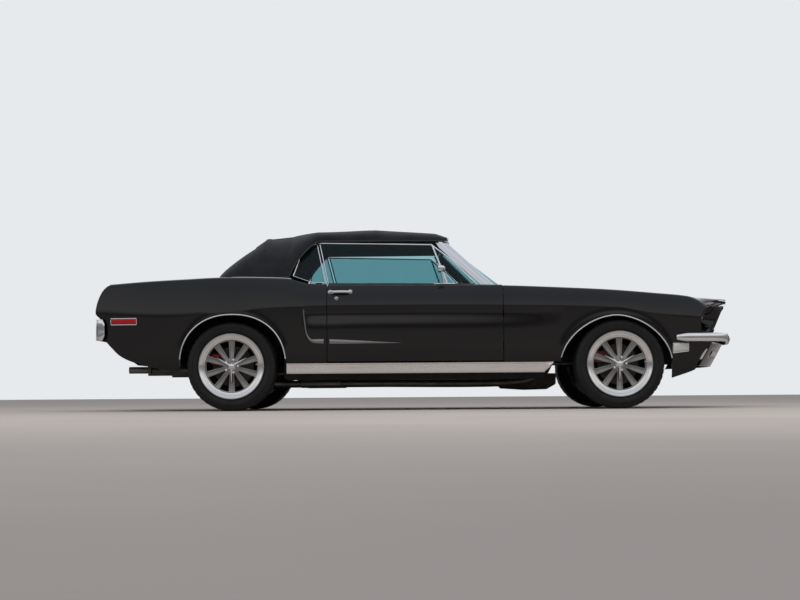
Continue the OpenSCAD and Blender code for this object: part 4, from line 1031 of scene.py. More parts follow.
def cheek():
    """The nose beside the grille, drawn in around the headlight as a funnel."""
    rings = []
    y_out, z_top = CHEEK_OUT + 18, LAMP_Z + 87
    hy, hz = (y_out - NOSE_IN) / 2, (z_top - NOSE_LOW) / 2
    yc, zc = (y_out + NOSE_IN) / 2, (z_top + NOSE_LOW) / 2
    for t in (1.0, 0.66, 0.33, 0.0):
        ring = []
        for k in range(48):
            c, s = cosd(7.5 * k), sind(7.5 * k)
            q = squircle(7.5 * k, 6)
            yo, zo = yc + hy * q * c, zc + hz * q * s
            yi, zi = LAMP_Y + (LAMP_R + 14) * c, LAMP_Z + (LAMP_R + 14) * s
            y, z = lerp(yi, yo, t), lerp(zi, zo, t)
            x = nose_point(y, z)[0] - 4
            ring.append((lerp(x - 10, x, t) if t else x - 14, y, z))
        rings.append(ring)
    deep = [(LAMP_X - 6, y, z) for x, y, z in rings[-1]]
    rings.append([(lerp(a[0], b[0], 0.5), a[1], a[2]) for a, b in zip(rings[-1], deep)])
    rings.append(deep)
    return rings


cheek_rings = [r + [r[0]] for r in cheek()]
cheek_shell = skin(cheek_rings, 3, (1, 0, 0))
across = fine(-NOSE_IN - 2, NOSE_IN + 2, 48)


def nose_bar(z, height, crown=0.0):
    rings = []
    for y in across:
        top = z + height + crown * (1 - (y / NOSE_IN) ** 2)
        rings.append([nose_point(y, top), nose_point(y, (z + top) / 2, -4), nose_point(y, z),
                      nose_point(y, z, 46), nose_point(y, top, 46)])
    return loft(rings)


nose_bars = join(nose_bar(NOSE_LOW - 2, 20), nose_bar(LAMP_Z + 62, 26, 30),
                 flipped(cheek_shell), cheek_shell)
piece("nose_skin", *nose_bars, PAINT, "body_shell", "body_paint", "nose_panel", bevel=0.8)


def bar_mesh():
    """Crossed bars of the grille."""
    parts = []
    low, high = NOSE_LOW + 18, LAMP_Z + 62
    for k in range(1, 12):
        z = lerp(low, high, k / 12)
        path = [(nose_front_x(y) - 41 - nose_lean(z), y, z)
                for y in fine(-NOSE_IN + 1, NOSE_IN - 1, 40)]
        parts.append(loft([[(x, y, zz + 1.6), (x + 5, y, zz), (x, y, zz - 1.6), (x - 5, y, zz)]
                           for x, y, zz in path]))
    for k in range(1, 60):
        y = lerp(-NOSE_IN, NOSE_IN, k / 60)
        x = nose_front_x(y) - 44
        parts.append(loft([[(xx, y - 1.4, z), (xx + 4, y, z), (xx, y + 1.4, z), (xx - 4, y, z)]
                           for xx, z in ((x - nose_lean(low), low), (x - nose_lean(high), high))]))
    back = [[(nose_front_x(y) - 60 - nose_lean(lerp(low, high, t)), y, lerp(low, high, t))
             for y in across[1:-1]]
            for t in (0, 0.5, 1)]
    parts.append(skin(back, 2, (1, 0, 0)))
    return join(*parts)


piece("grille_bars", *bar_mesh(), MESH, "body_shell", "grille_black", "grille")
surround = [(nose_front_x(y) - 14 - nose_lean(z), y, z) for y, z in
            [(y, LAMP_Z + 58) for y in fine(-NOSE_IN + 12, NOSE_IN - 12, 40)]
            + [(NOSE_IN - 8, LAMP_Z + 30), (NOSE_IN - 8, NOSE_LOW + 50)]
            + [(y, NOSE_LOW + 24) for y in fine(NOSE_IN - 12, -NOSE_IN + 12, 40)]
            + [(-NOSE_IN + 8, NOSE_LOW + 50), (-NOSE_IN + 8, LAMP_Z + 30)]]
piece("grille_surround", *tube(surround + surround[:1], 4.5, 10), CHROME, "body_shell", "chrome")

lens_profile = [(LAMP_R, 0)] + [(LAMP_R * math.cos(math.radians(a)),
                                 10 + 22 * math.sin(math.radians(a))) for a in range(0, 90, 9)]
lens_profile.append((0.01, 32))
to_x = Matrix.Rotation(math.radians(-90), 3, "Z")
lens = turned(lathe(lens_profile, 56), to_x)
bowl = turned(lathe([(LAMP_R - 3, 2), (LAMP_R * 0.85, -14), (LAMP_R * 0.6, -28), (30, -36),
                     (0.01, -37)] + [(0.01, -39), (LAMP_R * 0.6, -31), (LAMP_R - 2, 0)], 48),
              to_x)
bezel = turned(lathe([(LAMP_R - 1, 0), (LAMP_R - 1, 12), (LAMP_R + 4, 17), (LAMP_R + 11, 14),
                      (LAMP_R + 14, 4), (LAMP_R + 12, -4), (LAMP_R, -4)], 56, closed=True), to_x)
spot = (LAMP_X - 26, LAMP_Y, LAMP_Z)
both("headlight_lens", moved(lens, *spot), LENS, "lamp_glass", "headlights")
both("headlight_bowl", moved(bowl, *spot), CHROME, "chrome")
both("headlight_ring", moved(bezel, spot[0] + 4, *spot[1:]), CHROME, "chrome")


VALANCE_HALF = HALF_W - 140


def valance_x(v):
    return X_NOSE - 92 - 180 * abs(v) ** 2.6


def valance_rows():
    rows = []
    for v in fine(-1, 1, 56):
        y = v * VALANCE_HALF
        x = valance_x(v)
        line = [(x - 14, y, 466), (x, y, 460)]
        for t in fine(0.06, 1, 12):
            z = lerp(462, 300, t)
            inset = 10 * ease((z - 356) / 12) * ease((424 - z) / 12) * (0.5 < abs(v) < 0.86)
            line.append((x - 90 * t - inset, y, z))
        line.append((x - 104, y, 298))
        rows.append(line)
    return rows


piece("valance_skin", *skin(valance_rows(), 3, (1, 0, 0)), PAINT, "body_shell", "body_paint",
      "front_valance", bevel=0.8)


def valance_lamp():
    rows = []
    for y in fine(0.53 * VALANCE_HALF, 0.83 * VALANCE_HALF, 12):
        x = valance_x(y / VALANCE_HALF)
        rows.append([(x - 90 * (462 - z) / 162 - 6 + 5 * sind(180 * t), y, z)
                     for t, z in ((t, lerp(370, 410, t)) for t in fine(0, 1, 6))])
    return skin(rows, 4, (1, 0, 0))


both("parking_lens", valance_lamp(), AMBER, "lamp_glass", bevel=0.6)

FB_Y = side_w(X_NOSE - 500) + 22
FRONT_LINE = [(-534, FB_Y - 8), (-430, FB_Y), (-310, FB_Y - 3), (-225, FB_Y - 25),
              (-178, FB_Y - 68), (-150, FB_Y - 140), (-126, FB_Y - 240), (-94, 0.55 * FB_Y),
              (-45, 0.3 * FB_Y), (0, 0)]
RB_Y = side_w(X_TAIL + 150) + 24
REAR_LINE = [(-88, RB_Y), (-66, RB_Y - 2), (-46, RB_Y - 12), (-32, RB_Y - 30),
             (-26, RB_Y - 52), (-20, 0.7 * RB_Y), (-8, 0.35 * RB_Y), (0, 0)]


def blade(line, low, high, t, tip, face, waist=0.0):
    """A pressed bumper bar along half a plan line, mirrored about the middle."""
    half = smooth_path([(a, b, 0) for a, b in line], 6)
    path = half + [(p[0], -p[1], 0) for p in reversed(half[:-1])]
    rings = []
    for i, p in enumerate(path):
        d = Vector(path[min(i + 1, len(path) - 1)]) - Vector(path[max(i - 1, 0)])
        n = Vector((d.y, -d.x, 0)).normalized()
        if n.x < 0 and abs(n.x) > abs(n.y) or n.y * p[1] < 0:
            n = -n
        ends = min(1, 0.55 + i / 10, 0.55 + (len(path) - 1 - i) / 10)
        mid, h = (low + high) / 2, (high - low) / 2 * ends
        ring = []
        for z, off in ((1, -t), (1, -9), (0.86, -3.4), (0.6, -0.8), (0.2, 0 - waist),
                       (-0.2, 0 - waist), (-0.6, -0.8), (-0.86, -3.4), (-1, -9), (-1, -t),
                       (-0.8, -t + 3), (0.8, -t + 3)):
            q = Vector(p) + n * off
            ring.append((tip + face * q.x, q.y, mid + h * z))
        rings.append(ring)
    return loft(rings)


bolts = turned(lathe([(0.01, 0), (15, 0), (15, 3), (11, 7), (0.01, 9)], 28), to_x)
piece("front_bumper_blade", *blade(FRONT_LINE, 470, 530, 18, X_NOSE, 1), CHROME, "body_shell",
      "chrome", "front_bumper", sharp=50)
piece("rear_bumper_blade", *blade(REAR_LINE, 505, 655, 14, X_TAIL, -1, 3), CHROME, "body_shell",
      "chrome", "rear_bumper", sharp=50)
both("bumper_bolts", join(moved(bolts, X_NOSE - 67, 360, 500),
                          moved(bolts, X_NOSE - 130, 660, 500)), CHROME, "chrome")
irons = join(block((1990, 2248), (380, 400), (490, 514)),
             block((-2300, -2190), (380, 400), (507, 525)))
both("bumper_irons", irons, IRON, "dark_iron", bevel=1)
plate = [[(-2318.5, y, z) for y in fine(-110, 110, 24)] for z in fine(472, 545, 8)]
holes = turned(lathe([(3.5, -5), (3.5, 5), (6, 5), (6, -5)], 24, closed=True), to_x)
bracket = join(skin(plate, 3, (-1, 0, 0)),
               moved(holes, -2319, 88.9, 494), moved(holes, -2319, -88.9, 494))
piece("plate_bracket", *bracket, IRON, "body_shell", "dark_iron", bevel=0.8)

# ---- tail ----------------------------------------------------------------------------

TAIL_TOP = (X_TAIL + 124, shoulder_z(X_TAIL + 124) - 40)
TAIL_LOW = (X_TAIL + 92, 534.0)
TAIL_HALF = side_w(X_TAIL + 70) - 58


def tail_x(z):
    return lerp(TAIL_LOW[0], TAIL_TOP[0], (z - TAIL_LOW[1]) / (TAIL_TOP[1] - TAIL_LOW[1]))


tail_rows = []
for z in fine(TAIL_LOW[1], TAIL_TOP[1], 22):
    tail_rows.append([(tail_x(z) - 4 * ease((abs(z - 700) - 100) / 20), y, z)
                      for y in fine(-TAIL_HALF, TAIL_HALF, 56)])
piece("tail_skin", *skin(tail_rows, 4, (-1, 0, 0)), PAINT, "body_shell", "body_paint",
      "tail_panel", bevel=0.8)


def tail_lamp(y0):
    """Lens with an upright rib, and its frame."""
    yc = y0 + 29
    lens_rings = []
    frame_rings = []
    for z0, f in ((0, 0.0), (1, 0.6), (4, 1.0), (186, 1.0), (189, 0.6), (190, 0.0)):
        z = 660 + z0
        x = tail_x(z) - 2
        lens_rings.append([(x - 4 - f * (6 + 8 * math.cos(a * 0.9)),
                            yc + 22 * math.sin(a), z) for a in fine(-1.57, 1.57, 12)]
                          + [(x + 4, yc + 22, z), (x + 4, yc - 22, z)])
    for k in range(40):
        a = 360 * k / 40
        q = squircle(a, 10)
        y, z = yc + 25.5 * q * cosd(a), 755 + 98.5 * q * sind(a)
        frame_rings.append([(tail_x(z) + dx - 6, y + dy * cosd(a), z + dy * sind(a))
                            for dx, dy in ((8, 3.5), (-6, 3.5), (-10, 0), (-6, -3.5), (8, -3.5))])
    frame_rings.append(frame_rings[0])
    return loft(lens_rings), loft(frame_rings, caps=False)


lamps = [tail_lamp(HALF_W - 178 - i * 78) for i in range(3)]
both("tail_lenses", join(*[a for a, _ in lamps]), RED, "red_lens", "tail_lamps", bevel=0.6)
both("tail_lamp_frames", join(*[b for _, b in lamps]), CHROME, "chrome")
cap = turned(lathe([(0.01, 0), (62, 0), (64, 6), (60, 14), (50, 17), (46, 12), (20, 11),
                    (16, 16), (0.01, 17)], 56), Matrix.Rotation(math.radians(90), 3, "Z"))
piece("fuel_cap", *moved(cap, tail_x(745) - 4, 0, 745), CHROME, "body_shell", "chrome")


def marker(xs, z0, z1, proud, slant=0.0):
    rings = []
    for i, x in enumerate(xs):
        e = 1 if 0 < i < len(xs) - 1 else 0.55
        s = slant * (i / (len(xs) - 1))
        lo, hi = z0 + s, z1
        ring = []
        for k in range(9):
            z = lerp(lo, hi, k / 8)
            ring.append((x, side_y(x, z) + proud * e * min(1, 0.4 + math.sin(math.pi * k / 8)), z))
        ring += [(x, side_y(x, hi) - 3, hi), (x, side_y(x, lo) - 3, lo)]
        rings.append(ring)
    return loft(rings)


def marker_frame(x0, x1, z0, z1, slant=0.0, r=3.2):
    """A thin bright frame round a side marker."""
    corners = [(x0, z0), (x1, z0 + slant), (x1, z1), (x0, z1), (x0, z0)]
    pts = []
    for a, b in zip(corners, corners[1:]):
        pts += [(lerp(a[0], b[0], t), lerp(a[1], b[1], t)) for t in fine(0, 1, 8)[:-1]]
    pts.append(pts[0])
    return tube([(x, side_y(x, z) + 1, z) for x, z in pts], r, 8)


both("rear_marker", marker(fine(-2200, -2019, 14), 618, 659, 7), RED, "red_lens")
both("rear_marker_frame", marker_frame(-2203, -2016, 616, 661), CHROME, "chrome")
both("front_marker", marker(fine(1780, 1884, 12), 393, 455, 7, 14), AMBER, "lamp_glass")
both("front_marker_frame", marker_frame(1776, 1887, 389, 458, 14), CHROME, "chrome")

# ---- rockers and belt moulding -------------------------------------------------------

ROCKER_X = (X_RA + ARCH_R[1] + 12, X_FA - ARCH_F[1] - 68)


def rocker(section):
    rings = []
    for x in fine(ROCKER_X[0] + 2, ROCKER_X[1] - 2, 60):
        y1 = side_y(x, 300)
        lift = 70 * ease((x - ROCKER_X[1] + 60) / 60)
        rings.append([(x, y1 + y, min(336, z + lift * (336 - z) / 80)) for y, z in section])
    return loft(rings)


ROCKER_FACE = [(-20, 336), (6, 336), (10, 333), (10, 326), (3, 322), (2, 318), (4, 300),
               (3, 282), (-1, 268), (-8, 261), (-24, 261)]
ROCKER_FOOT = [(-10, 262), (-14, 258), (-30, 256), (-46, 240), (-60, 216), (-92, 216), (-92, 262)]


def gap_strip(x0, x1, z0, z1):
    """Rubber behind a door gap, so that daylight doesn't show through."""
    return skin([[(x, side_y(x, z) - 22, z) for x in fine(x0, x1, 3)] for z in fine(z0, z1, 12)],
                3, (0, 1, 0))


belt = shoulder_z(DOOR_FRONT + 24) - 8
gaps = [gap_strip(DOOR_FRONT + 1.5, DOOR_FRONT + 24, *zs)
        for zs in ((350, 424), (476, 654), (706, belt))]
gaps.append(gap_strip(DOOR_REAR - 24, DOOR_REAR - 1.5, 350, belt))
both("door_gap_seals", join(*gaps), SEAL, "body_paint")
both("rocker_moulding", rocker(ROCKER_FACE), BRUSHED, "rocker_steel", "rocker_panels", sharp=24)
both("rocker_foot", rocker(ROCKER_FOOT), UNDER, "dark_iron")


def top_half(x):
    if x > BACK_X + FOLD:
        return HALF_W - curve([(QGLASS_X, 165), (WINDOW_END - 60, 230), (WINDOW_END, 280),
                               (WINDOW_END + 300, 292), (HEADER_X, 322)], x)
    return (HALF_W - 165) * (1 - ((BACK_X + FOLD - x) / FOLD) ** 2.5) ** 0.4


def top_foot(x):
    return curve([(QGLASS_X, TOP_FOOT_Z), (QGLASS_X + 40, TOP_FOOT_Z + 90),
                  (WINDOW_END - 60, WINDOW_Z - 40), (WINDOW_END, WINDOW_Z + 10)], x)


def top_crown(x):
    return curve([(BACK_X, TOP_FOOT_Z + 18), (BOW_X - 20, ROOF_Z - 44), (BOW_X + 30, ROOF_Z - 33),
                  (BOW_X + 220, ROOF_Z - 11), (BOW_X + 600, ROOF_Z + 11),
                  (BOW_X + 800, ROOF_Z + 14),
                  (HEADER_X - 100, ROOF_Z - 15), (HEADER_X, ROOF_Z - 52)], x)


BOWS = (BOW_X, -751.0, -324.0, 120.0)


def cloth_sag(x):
    """How far the cloth dips between the bows."""
    for a, b in zip(BOWS, BOWS[1:]):
        if a < x < b:
            return 5.0 * math.sin(math.pi * (x - a) / (b - a)) ** 0.8
    return 0.0


def top_point(x, a, off=0.0):
    foot = top_foot(x)
    crown = top_crown(x) - off - cloth_sag(x)
    z = foot + (crown - foot) * abs(sind(a)) ** (2 / 3)
    c = cosd(a)
    y = math.copysign((top_half(x) - off) * abs(c) ** (2 / 3), c)
    lean = curve([(QGLASS_X - 60, 110), (WINDOW_END, 10)], x) * (z - foot) / (ROOF_Z - TOP_FOOT_Z)
    return (x, y * (1 - lean / (HALF_W - 165)), z)


BACK_STEPS = fine(BACK_X + 12, BOW_X - 20, 24)
top_xs = (BACK_STEPS + [BOW_X - 8, BOW_X + 5, BOW_X + 18] + fine(BOW_X + 30, WINDOW_END, 16)
          + fine(WINDOW_END, HEADER_X, 50)[1:])
top_as = fine(0, 180, 72)
top_rows = [[top_point(x, a) for a in top_as] for x in top_xs]
CLOTH_THICK = 5
top_inner = [[top_point(x, a, CLOTH_THICK) for a in top_as] for x in top_xs]
WINDOW_CELLS = (4, 19, 20, 51)
top_cloth = piece("soft_top_cloth", *shell(top_rows, top_inner, [WINDOW_CELLS]), CLOTH,
                  "body_shell", "top_fabric", "soft_top", sharp=40)


def over_top(x, a0=8, a1=172, width=26, thick=2.6):
    pts = [top_point(x, a) for a in fine(a0, a1, 60)]
    ups = [Vector((0, p[1] * 0.9, max(60, p[2] - 900))).normalized() for p in pts]
    rings = []
    for p, n in zip(pts, ups):
        q = Vector(p)
        rings.append([tuple(q + Vector((w, 0, 0)) + n * h)
                      for w, h in ((-width / 2, -2), (width / 2, -2), (width / 2, thick * 0.5),
                                   (width * 0.3, thick), (-width * 0.3, thick),
                                   (-width / 2, thick * 0.5))])
    return loft(rings)


def along_top(a, x0, x1, width=14, thick=3):
    pts = [top_point(x, a) for x in fine(x0, x1, 80)]
    rings = []
    for i, p in enumerate(pts):
        q = Vector(p)
        t = Vector(top_point(p[0], a + 1)) - Vector(top_point(p[0], a - 1))
        t.normalize()
        d = Vector(pts[min(i + 1, len(pts) - 1)]) - Vector(pts[max(i - 1, 0)])
        n = t.cross(d).normalized()
        if n.z < 0:
            n = -n
        rings.append([tuple(q + t * w + n * h)
                      for w, h in ((-width / 2, -2), (width / 2, -2), (width * 0.3, thick),
                                   (-width * 0.3, thick))])
    return loft(rings)


seams = join(*[over_top(x) for x in BOWS[1:3]], over_top(BOWS[0] + 5, 30, 150, 30, 3),
             along_top(62, BOW_X + 30, HEADER_X - 20), along_top(118, BOW_X + 30, HEADER_X - 20))
piece("soft_top_seams", *seams, CLOTH, "body_shell", "top_fabric")
rear_pane = [[top_point(x, a, 6) for a in top_as[19:53]] for x in top_xs[3:21]]
rear_inner = [[top_point(x, a, 10) for a in top_as[19:53]] for x in top_xs[3:21]]
piece("rear_window_pane", *shell(rear_pane, rear_inner), GLASS, "body_shell", "window_glass",
      "rear_windows")
top_binding = join(*[tube([top_point(x, a, -1) for x in top_xs[:-1]], 5, 8) for a in (0, 180)])
piece("soft_top_binding", *top_binding, SEAL, "body_shell", "top_fabric")
header_path = [top_point(HEADER_X + 2, a, 3) for a in fine(3, 177, 50)]
piece("header_trim", *tube(header_path, 6, 8), CHROME, "body_shell", "chrome")


base_path = [(x, min(top_half(x) + 5, quarter_in(x) + 40),
              max(shoulder_z(x), deck_z(x, top_half(x))) + 5)
             for x in fine(BACK_X + 14, QGLASS_X + 18, 60)]
both("top_base_moulding", tube(base_path, 5.5, 8), CHROME, "chrome")

# ---- windscreen, windows and mirrors -------------------------------------------------

def screen_point(u, v, off=0.0):
    return (lerp(screen_foot_x(v), screen_head_x(v), u) + off, v * lerp(FOOT_Y, HEAD_Y, u),
            lerp(FOOT_Z + 6, HEAD_Z, u))


screen = shell([[screen_point(u, v) for v in fine(-1, 1, 32)] for u in fine(0, 1, 8)],
               [[screen_point(u, v, -6) for v in fine(-1, 1, 32)] for u in fine(0, 1, 8)])
piece("windshield_glass", *screen, GLASS, "body_shell", "window_glass", "windshield")


def pillar_ring(u, w):
    x, y, z = screen_point(u, 1)
    b = 1 if u < 0.85 else 1 - (u - 0.85) * 4
    shape = [(22, 2), (26, 10), (20, w * 0.55), (10, w * 0.8), (4, w * 0.78), (-4, w + 1),
             (-22, w + 3), (-30, w), (-36, w + 4), (-30 - 44 * b, w + 4 + 22 * b),
             (-34 - 44 * b, w + 18 * b), (-36, w * 0.5), (-24, 0), (10, -3)]
    return [(x + a, y + b, z) for a, b in shape]


def pillars():
    rings = [pillar_ring(u, lerp(34, 26, clamp(u))) for u in fine(-0.055, 0.985, 16)]
    return loft(rings)


def header():
    rings = []
    for v in fine(-1, 1, 40):
        x, y, z = screen_head_x(v), v * (HEAD_Y + 4), HEAD_Z
        t = min(1, (abs(y) + 10) / (top_half(HEADER_X) - 10))
        foot = top_foot(HEADER_X)
        top = foot + (top_crown(HEADER_X) - 16 - foot) * (1 - t ** 3) ** (1 / 3) - 2
        rings.append([(x + 16, y, z - 6), (x + 21, y, z + 4), (x + 17, y, max(z + 8, top)),
                      (x - 20, y, max(z + 8, top)), (x - 30, y, z + 6), (x - 24, y, z - 8)])
    return loft(rings)


foot_bar = tube([screen_point(-0.01, v, 8) for v in fine(-1, 1, 40)], 8, 10)
both("windshield_pillar", pillars(), CHROME, "chrome", sharp=50)
piece("windshield_header", *header(), CHROME, "body_shell", "chrome", "windshield_frame",
      sharp=50)
piece("windshield_foot", *foot_bar, CHROME, "body_shell", "chrome")

rear_view = join(tube([(150, 0, 1205), (138, 0, 1180), (132, 0, 1160)], 6, 10),
                 loft([[(x, y * s, 1140 + z * s) for y, z in
                        [(112 * cosd(a) * squircle(a, 6), 27 * sind(a) * squircle(a, 6))
                         for a in fine(0, 342, 19)]]
                       for x, s in ((118, 0.94), (121, 1.0), (134, 0.98), (140, 0.6))]))
piece("inside_mirror", *rear_view, CHROME, "body_shell", "chrome")


def wiper(foot_y, reach):
    arm_pts = [(DOOR_FRONT + 84 - 60 * (foot_y / 500) ** 2, foot_y, 892),
               (DOOR_FRONT + 66 - 60 * (foot_y / 500) ** 2, foot_y + 30, 906),
               (DOOR_FRONT + 40 - 60 * (foot_y / 500) ** 2, foot_y + reach * 0.6, 912)]
    blade_pts = []
    for t in fine(0, 1, 12):
        y = foot_y + reach * lerp(0.15, 1.15, t)
        v = clamp(y / FOOT_Y, -1, 1)
        x, _, z = screen_point(0.035 + 0.02 * t, v, 8)
        blade_pts.append((x, y, z))
    return join(tube(smooth_path(arm_pts, 5), 4, 8), tube(blade_pts, 4.5, 8),
                tube([(arm_pts[0][0], foot_y, 880), (arm_pts[0][0], foot_y, 898)], 9, 14))


piece("wipers", *join(wiper(150, 360), wiper(-500, 360)), CHROME, "body_shell", "chrome")


def pane(outline, thick=4.0):
    """A flat slanted window through an outline of (x, z) points."""
    n = len(outline)
    outer = [(x, glass_y(z), z) for x, z in outline]
    inner = [(x, glass_y(z) - thick, z) for x, z in outline]
    faces = [tuple(range(n)), tuple(range(2 * n - 1, n - 1, -1))]
    faces += [(i, n + i, n + (i + 1) % n, (i + 1) % n) for i in range(n)]
    return outer + inner, faces


def bar(points, r, n=10):
    return tube([(x, glass_y(z) - 2, z) for x, z in points], r, n)


GLASS_LOW = BELT_Z + 9
door_pane = pane([(DOOR_REAR - 6, GLASS_LOW), (WINDOW_END + 3, WINDOW_Z - 7),
                  (DOOR_FRONT - 497, WINDOW_Z - 24), (DOOR_FRONT - 392, GLASS_LOW)])
vent_pane = pane([(DOOR_FRONT - 384, GLASS_LOW), (DOOR_FRONT - 490, WINDOW_Z - 26),
                  (DOOR_FRONT - 200, GLASS_LOW)])
door_frame = join(
    bar([(DOOR_REAR + 4, GLASS_LOW - 6), (WINDOW_END + 10, WINDOW_Z - 4)], 5),
    bar([(WINDOW_END, WINDOW_Z - 4), (lerp(WINDOW_END, 70, 0.5), WINDOW_Z - 12),
         (DOOR_FRONT - 502, WINDOW_Z - 22)], 5),
    bar([(DOOR_FRONT - 388, GLASS_LOW - 4), (DOOR_FRONT - 494, WINDOW_Z - 24)], 6),
    bar([(DOOR_FRONT - 502, WINDOW_Z - 20), (DOOR_FRONT - 350, 1070),
         (DOOR_FRONT - 190, GLASS_LOW - 4)], 6))
seal_rings = []
for x in fine(DOOR_REAR + 4, DOOR_FRONT - 196, 50):
    y0, z0 = glass_y(BELT_Z), shoulder_z(x)
    seal_rings.append([(x, y0 + 10, z0 - 3), (x, y0 + 9, z0 + 3), (x, y0 + 4, z0 + 9),
                       (x, y0 - 10, z0 + 9), (x, y0 - 17, z0 + 3), (x, y0 - 17, z0 - 3)])
quarter_out = [(QGLASS_X + 32, TOP_FOOT_Z + 8), (QGLASS_X + 74, WINDOW_Z - 112),
               (QGLASS_X + 127, WINDOW_Z - 46), (WINDOW_END - 30, WINDOW_Z - 12),
               (WINDOW_END - GAP - 3, WINDOW_Z - 9), (DOOR_REAR - 20, BELT_Z + 15),
               (QGLASS_X + 172, BELT_Z + 17)]
quarter_frame = join(
    bar([(DOOR_REAR - 19, BELT_Z + 13), (WINDOW_END - GAP - 3, WINDOW_Z - 6)], 5),
    bar(quarter_out[4::-1], 4), bar([quarter_out[5], quarter_out[6], quarter_out[0]], 4))
mirror_x = DOOR_FRONT - 409
mirror_y = glass_y(BELT_Z) + 18


def mirror_shape():
    """Round-backed mirror head on a swept stalk with a long foot."""
    foot = shoulder_z(mirror_x)
    foot_rings = [[(mirror_x + x, mirror_y + 14 * w * cosd(a), foot + 2 + 9 * w * sind(a))
                   for a in fine(0, 180, 10)]
                  for x, w in ((-78, 0.3), (-70, 0.7), (-30, 1), (30, 1), (68, 0.8), (80, 0.35))]
    stalk = tube(smooth_path([(mirror_x, mirror_y, foot + 4),
                              (mirror_x - 8, mirror_y + 6, foot + 40),
                              (mirror_x - 22, mirror_y + 28, foot + 92)], 5), 9, 12)
    head = []
    for dx, s in ((-36, 0.9), (-34, 1.0), (-24, 1.0), (-6, 0.94), (10, 0.72), (20, 0.4),
                  (23, 0.08)):
        head.append([(mirror_x - 14 + dx * 0.9, mirror_y + 40 + 52 * s * cosd(a) * squircle(a, 4),
                      foot + 108 + 26 * s * sind(a) * squircle(a, 4)) for a in fine(0, 351, 39)])
    return join(loft(foot_rings), stalk, loft(head))


both("door_pane", door_pane, GLASS, "window_glass", "door_glass_{}", "door_{}")
both("vent_pane", vent_pane, GLASS, "window_glass", body="door_{}")
both("window_frames", door_frame, CHROME, "chrome", body="door_{}")
both("belt_seal", loft(seal_rings), SEAL, "grille_black", body="door_{}")
both("quarter_pane", pane(quarter_out), GLASS, "window_glass")
both("quarter_frames", quarter_frame, CHROME, "chrome")
both("mirror_shell", mirror_shape(), CHROME, "chrome", "door_mirror_{}", "door_{}")

# ---- wheels --------------------------------------------------------------------------

RIM_W = TYRE_W / 2 - 8


rim = lathe([(RIM_R - 14, -RIM_W), (RIM_R + 14, -RIM_W), (RIM_R + 15, -RIM_W + 8),
             (RIM_R - 1, -RIM_W + 14), (RIM_R - 2, RIM_W - 14), (RIM_R + 15, RIM_W - 8),
             (RIM_R + 16, RIM_W - 1), (RIM_R + 13, RIM_W + 3), (RIM_R + 8, RIM_W + 3),
             (RIM_R + 4, RIM_W - 1), (RIM_R - 6, RIM_W - 4), (RIM_R - 9, RIM_W - 7),
             (RIM_R - 11, RIM_W - 6), (RIM_R - 19, RIM_W - 9), (RIM_R - 21, RIM_W - 14),
             (RIM_R - 30, RIM_W - 16), (RIM_R - 33, RIM_W - 24), (RIM_R - 36, RIM_W - 42),
             (RIM_R - 14, RIM_W - 52)],
            112, closed=True)


def spoke():
    """One spoke with a hollow channel, along +X from the hub."""
    rings = []
    for r in fine(46, RIM_R - 30, 14):
        t = (r - 46) / (RIM_R - 76)
        w = lerp(13.0, 23.0, t ** 0.8)
        face = RIM_W - 20 - 8 * math.sin(math.pi * t) - 4 * t
        deep = 8 * ease(t * 6) * ease((1 - t) * 9)
        ring = [(-w, face - 18), (-w, face - 2), (-w + 2, face), (-w * 0.62, face),
                (-w * 0.5, face - deep), (w * 0.5, face - deep), (w * 0.62, face),
                (w - 2, face), (w, face - 2), (w, face - 18)]
        rings.append([(r, y, z) for z, y in ring])
    return loft(rings)


spoke_part = spoke()
wheel_face = join(*[turned(spoke_part, Matrix.Rotation(math.radians(36 * k + 18), 3, "Y"))
                    for k in range(10)],
                  lathe([(0.01, -43), (62, -43), (62, RIM_W - 40), (60, RIM_W - 26),
                         (56, RIM_W - 23), (36, RIM_W - 21), (0.01, RIM_W - 21)], 64),
                  lathe([(RIM_R - 38, RIM_W - 44), (RIM_R - 32, RIM_W - 44),
                         (RIM_R - 32, RIM_W - 26), (RIM_R - 38, RIM_W - 28)], 96, closed=True))


def ear():
    rings = []
    for r, w, h in ((10, 15, 16), (28, 12, 15), (55, 9, 13), (90, 7, 11), (114, 5, 9),
                    (121, 3, 6)):
        rings.append([(r, RIM_W - 21 + 2, -w), (r, RIM_W - 21 + h, -w * 0.5),
                      (r, RIM_W - 21 + h + 2, 0), (r, RIM_W - 21 + h, w * 0.5),
                      (r, RIM_W - 21 + 2, w)])
    return loft(rings)


cap_part = join(lathe([(0.01, RIM_W - 22), (31, RIM_W - 22), (30, RIM_W - 14), (24, RIM_W - 9),
                       (22, RIM_W - 4), (14, RIM_W + 1), (0.01, RIM_W + 2)], 48),
                *[turned(ear(), Matrix.Rotation(math.radians(a), 3, "Y")) for a in (90, 210, 330)])
nut = lathe([(0.01, 0), (10.5, 0), (10.5, 9), (8, 13), (0.01, 15)], 6)
nuts = join(*[moved(nut, 57.15 * sind(72 * k + 18) * 0.8, RIM_W - 22,
                    57.15 * cosd(72 * k + 18) * 0.8) for k in range(5)])
nuts = join(nuts, tube([(RIM_R - 34, RIM_W - 22, 12), (RIM_R - 44, RIM_W - 2, 12)], 4, 10))
disc = lathe([(58, -43), (145, -43), (145, -35), (141, -34), (141, -32), (145, -31),
              (145, -23), (58, -23)], 72, closed=True)


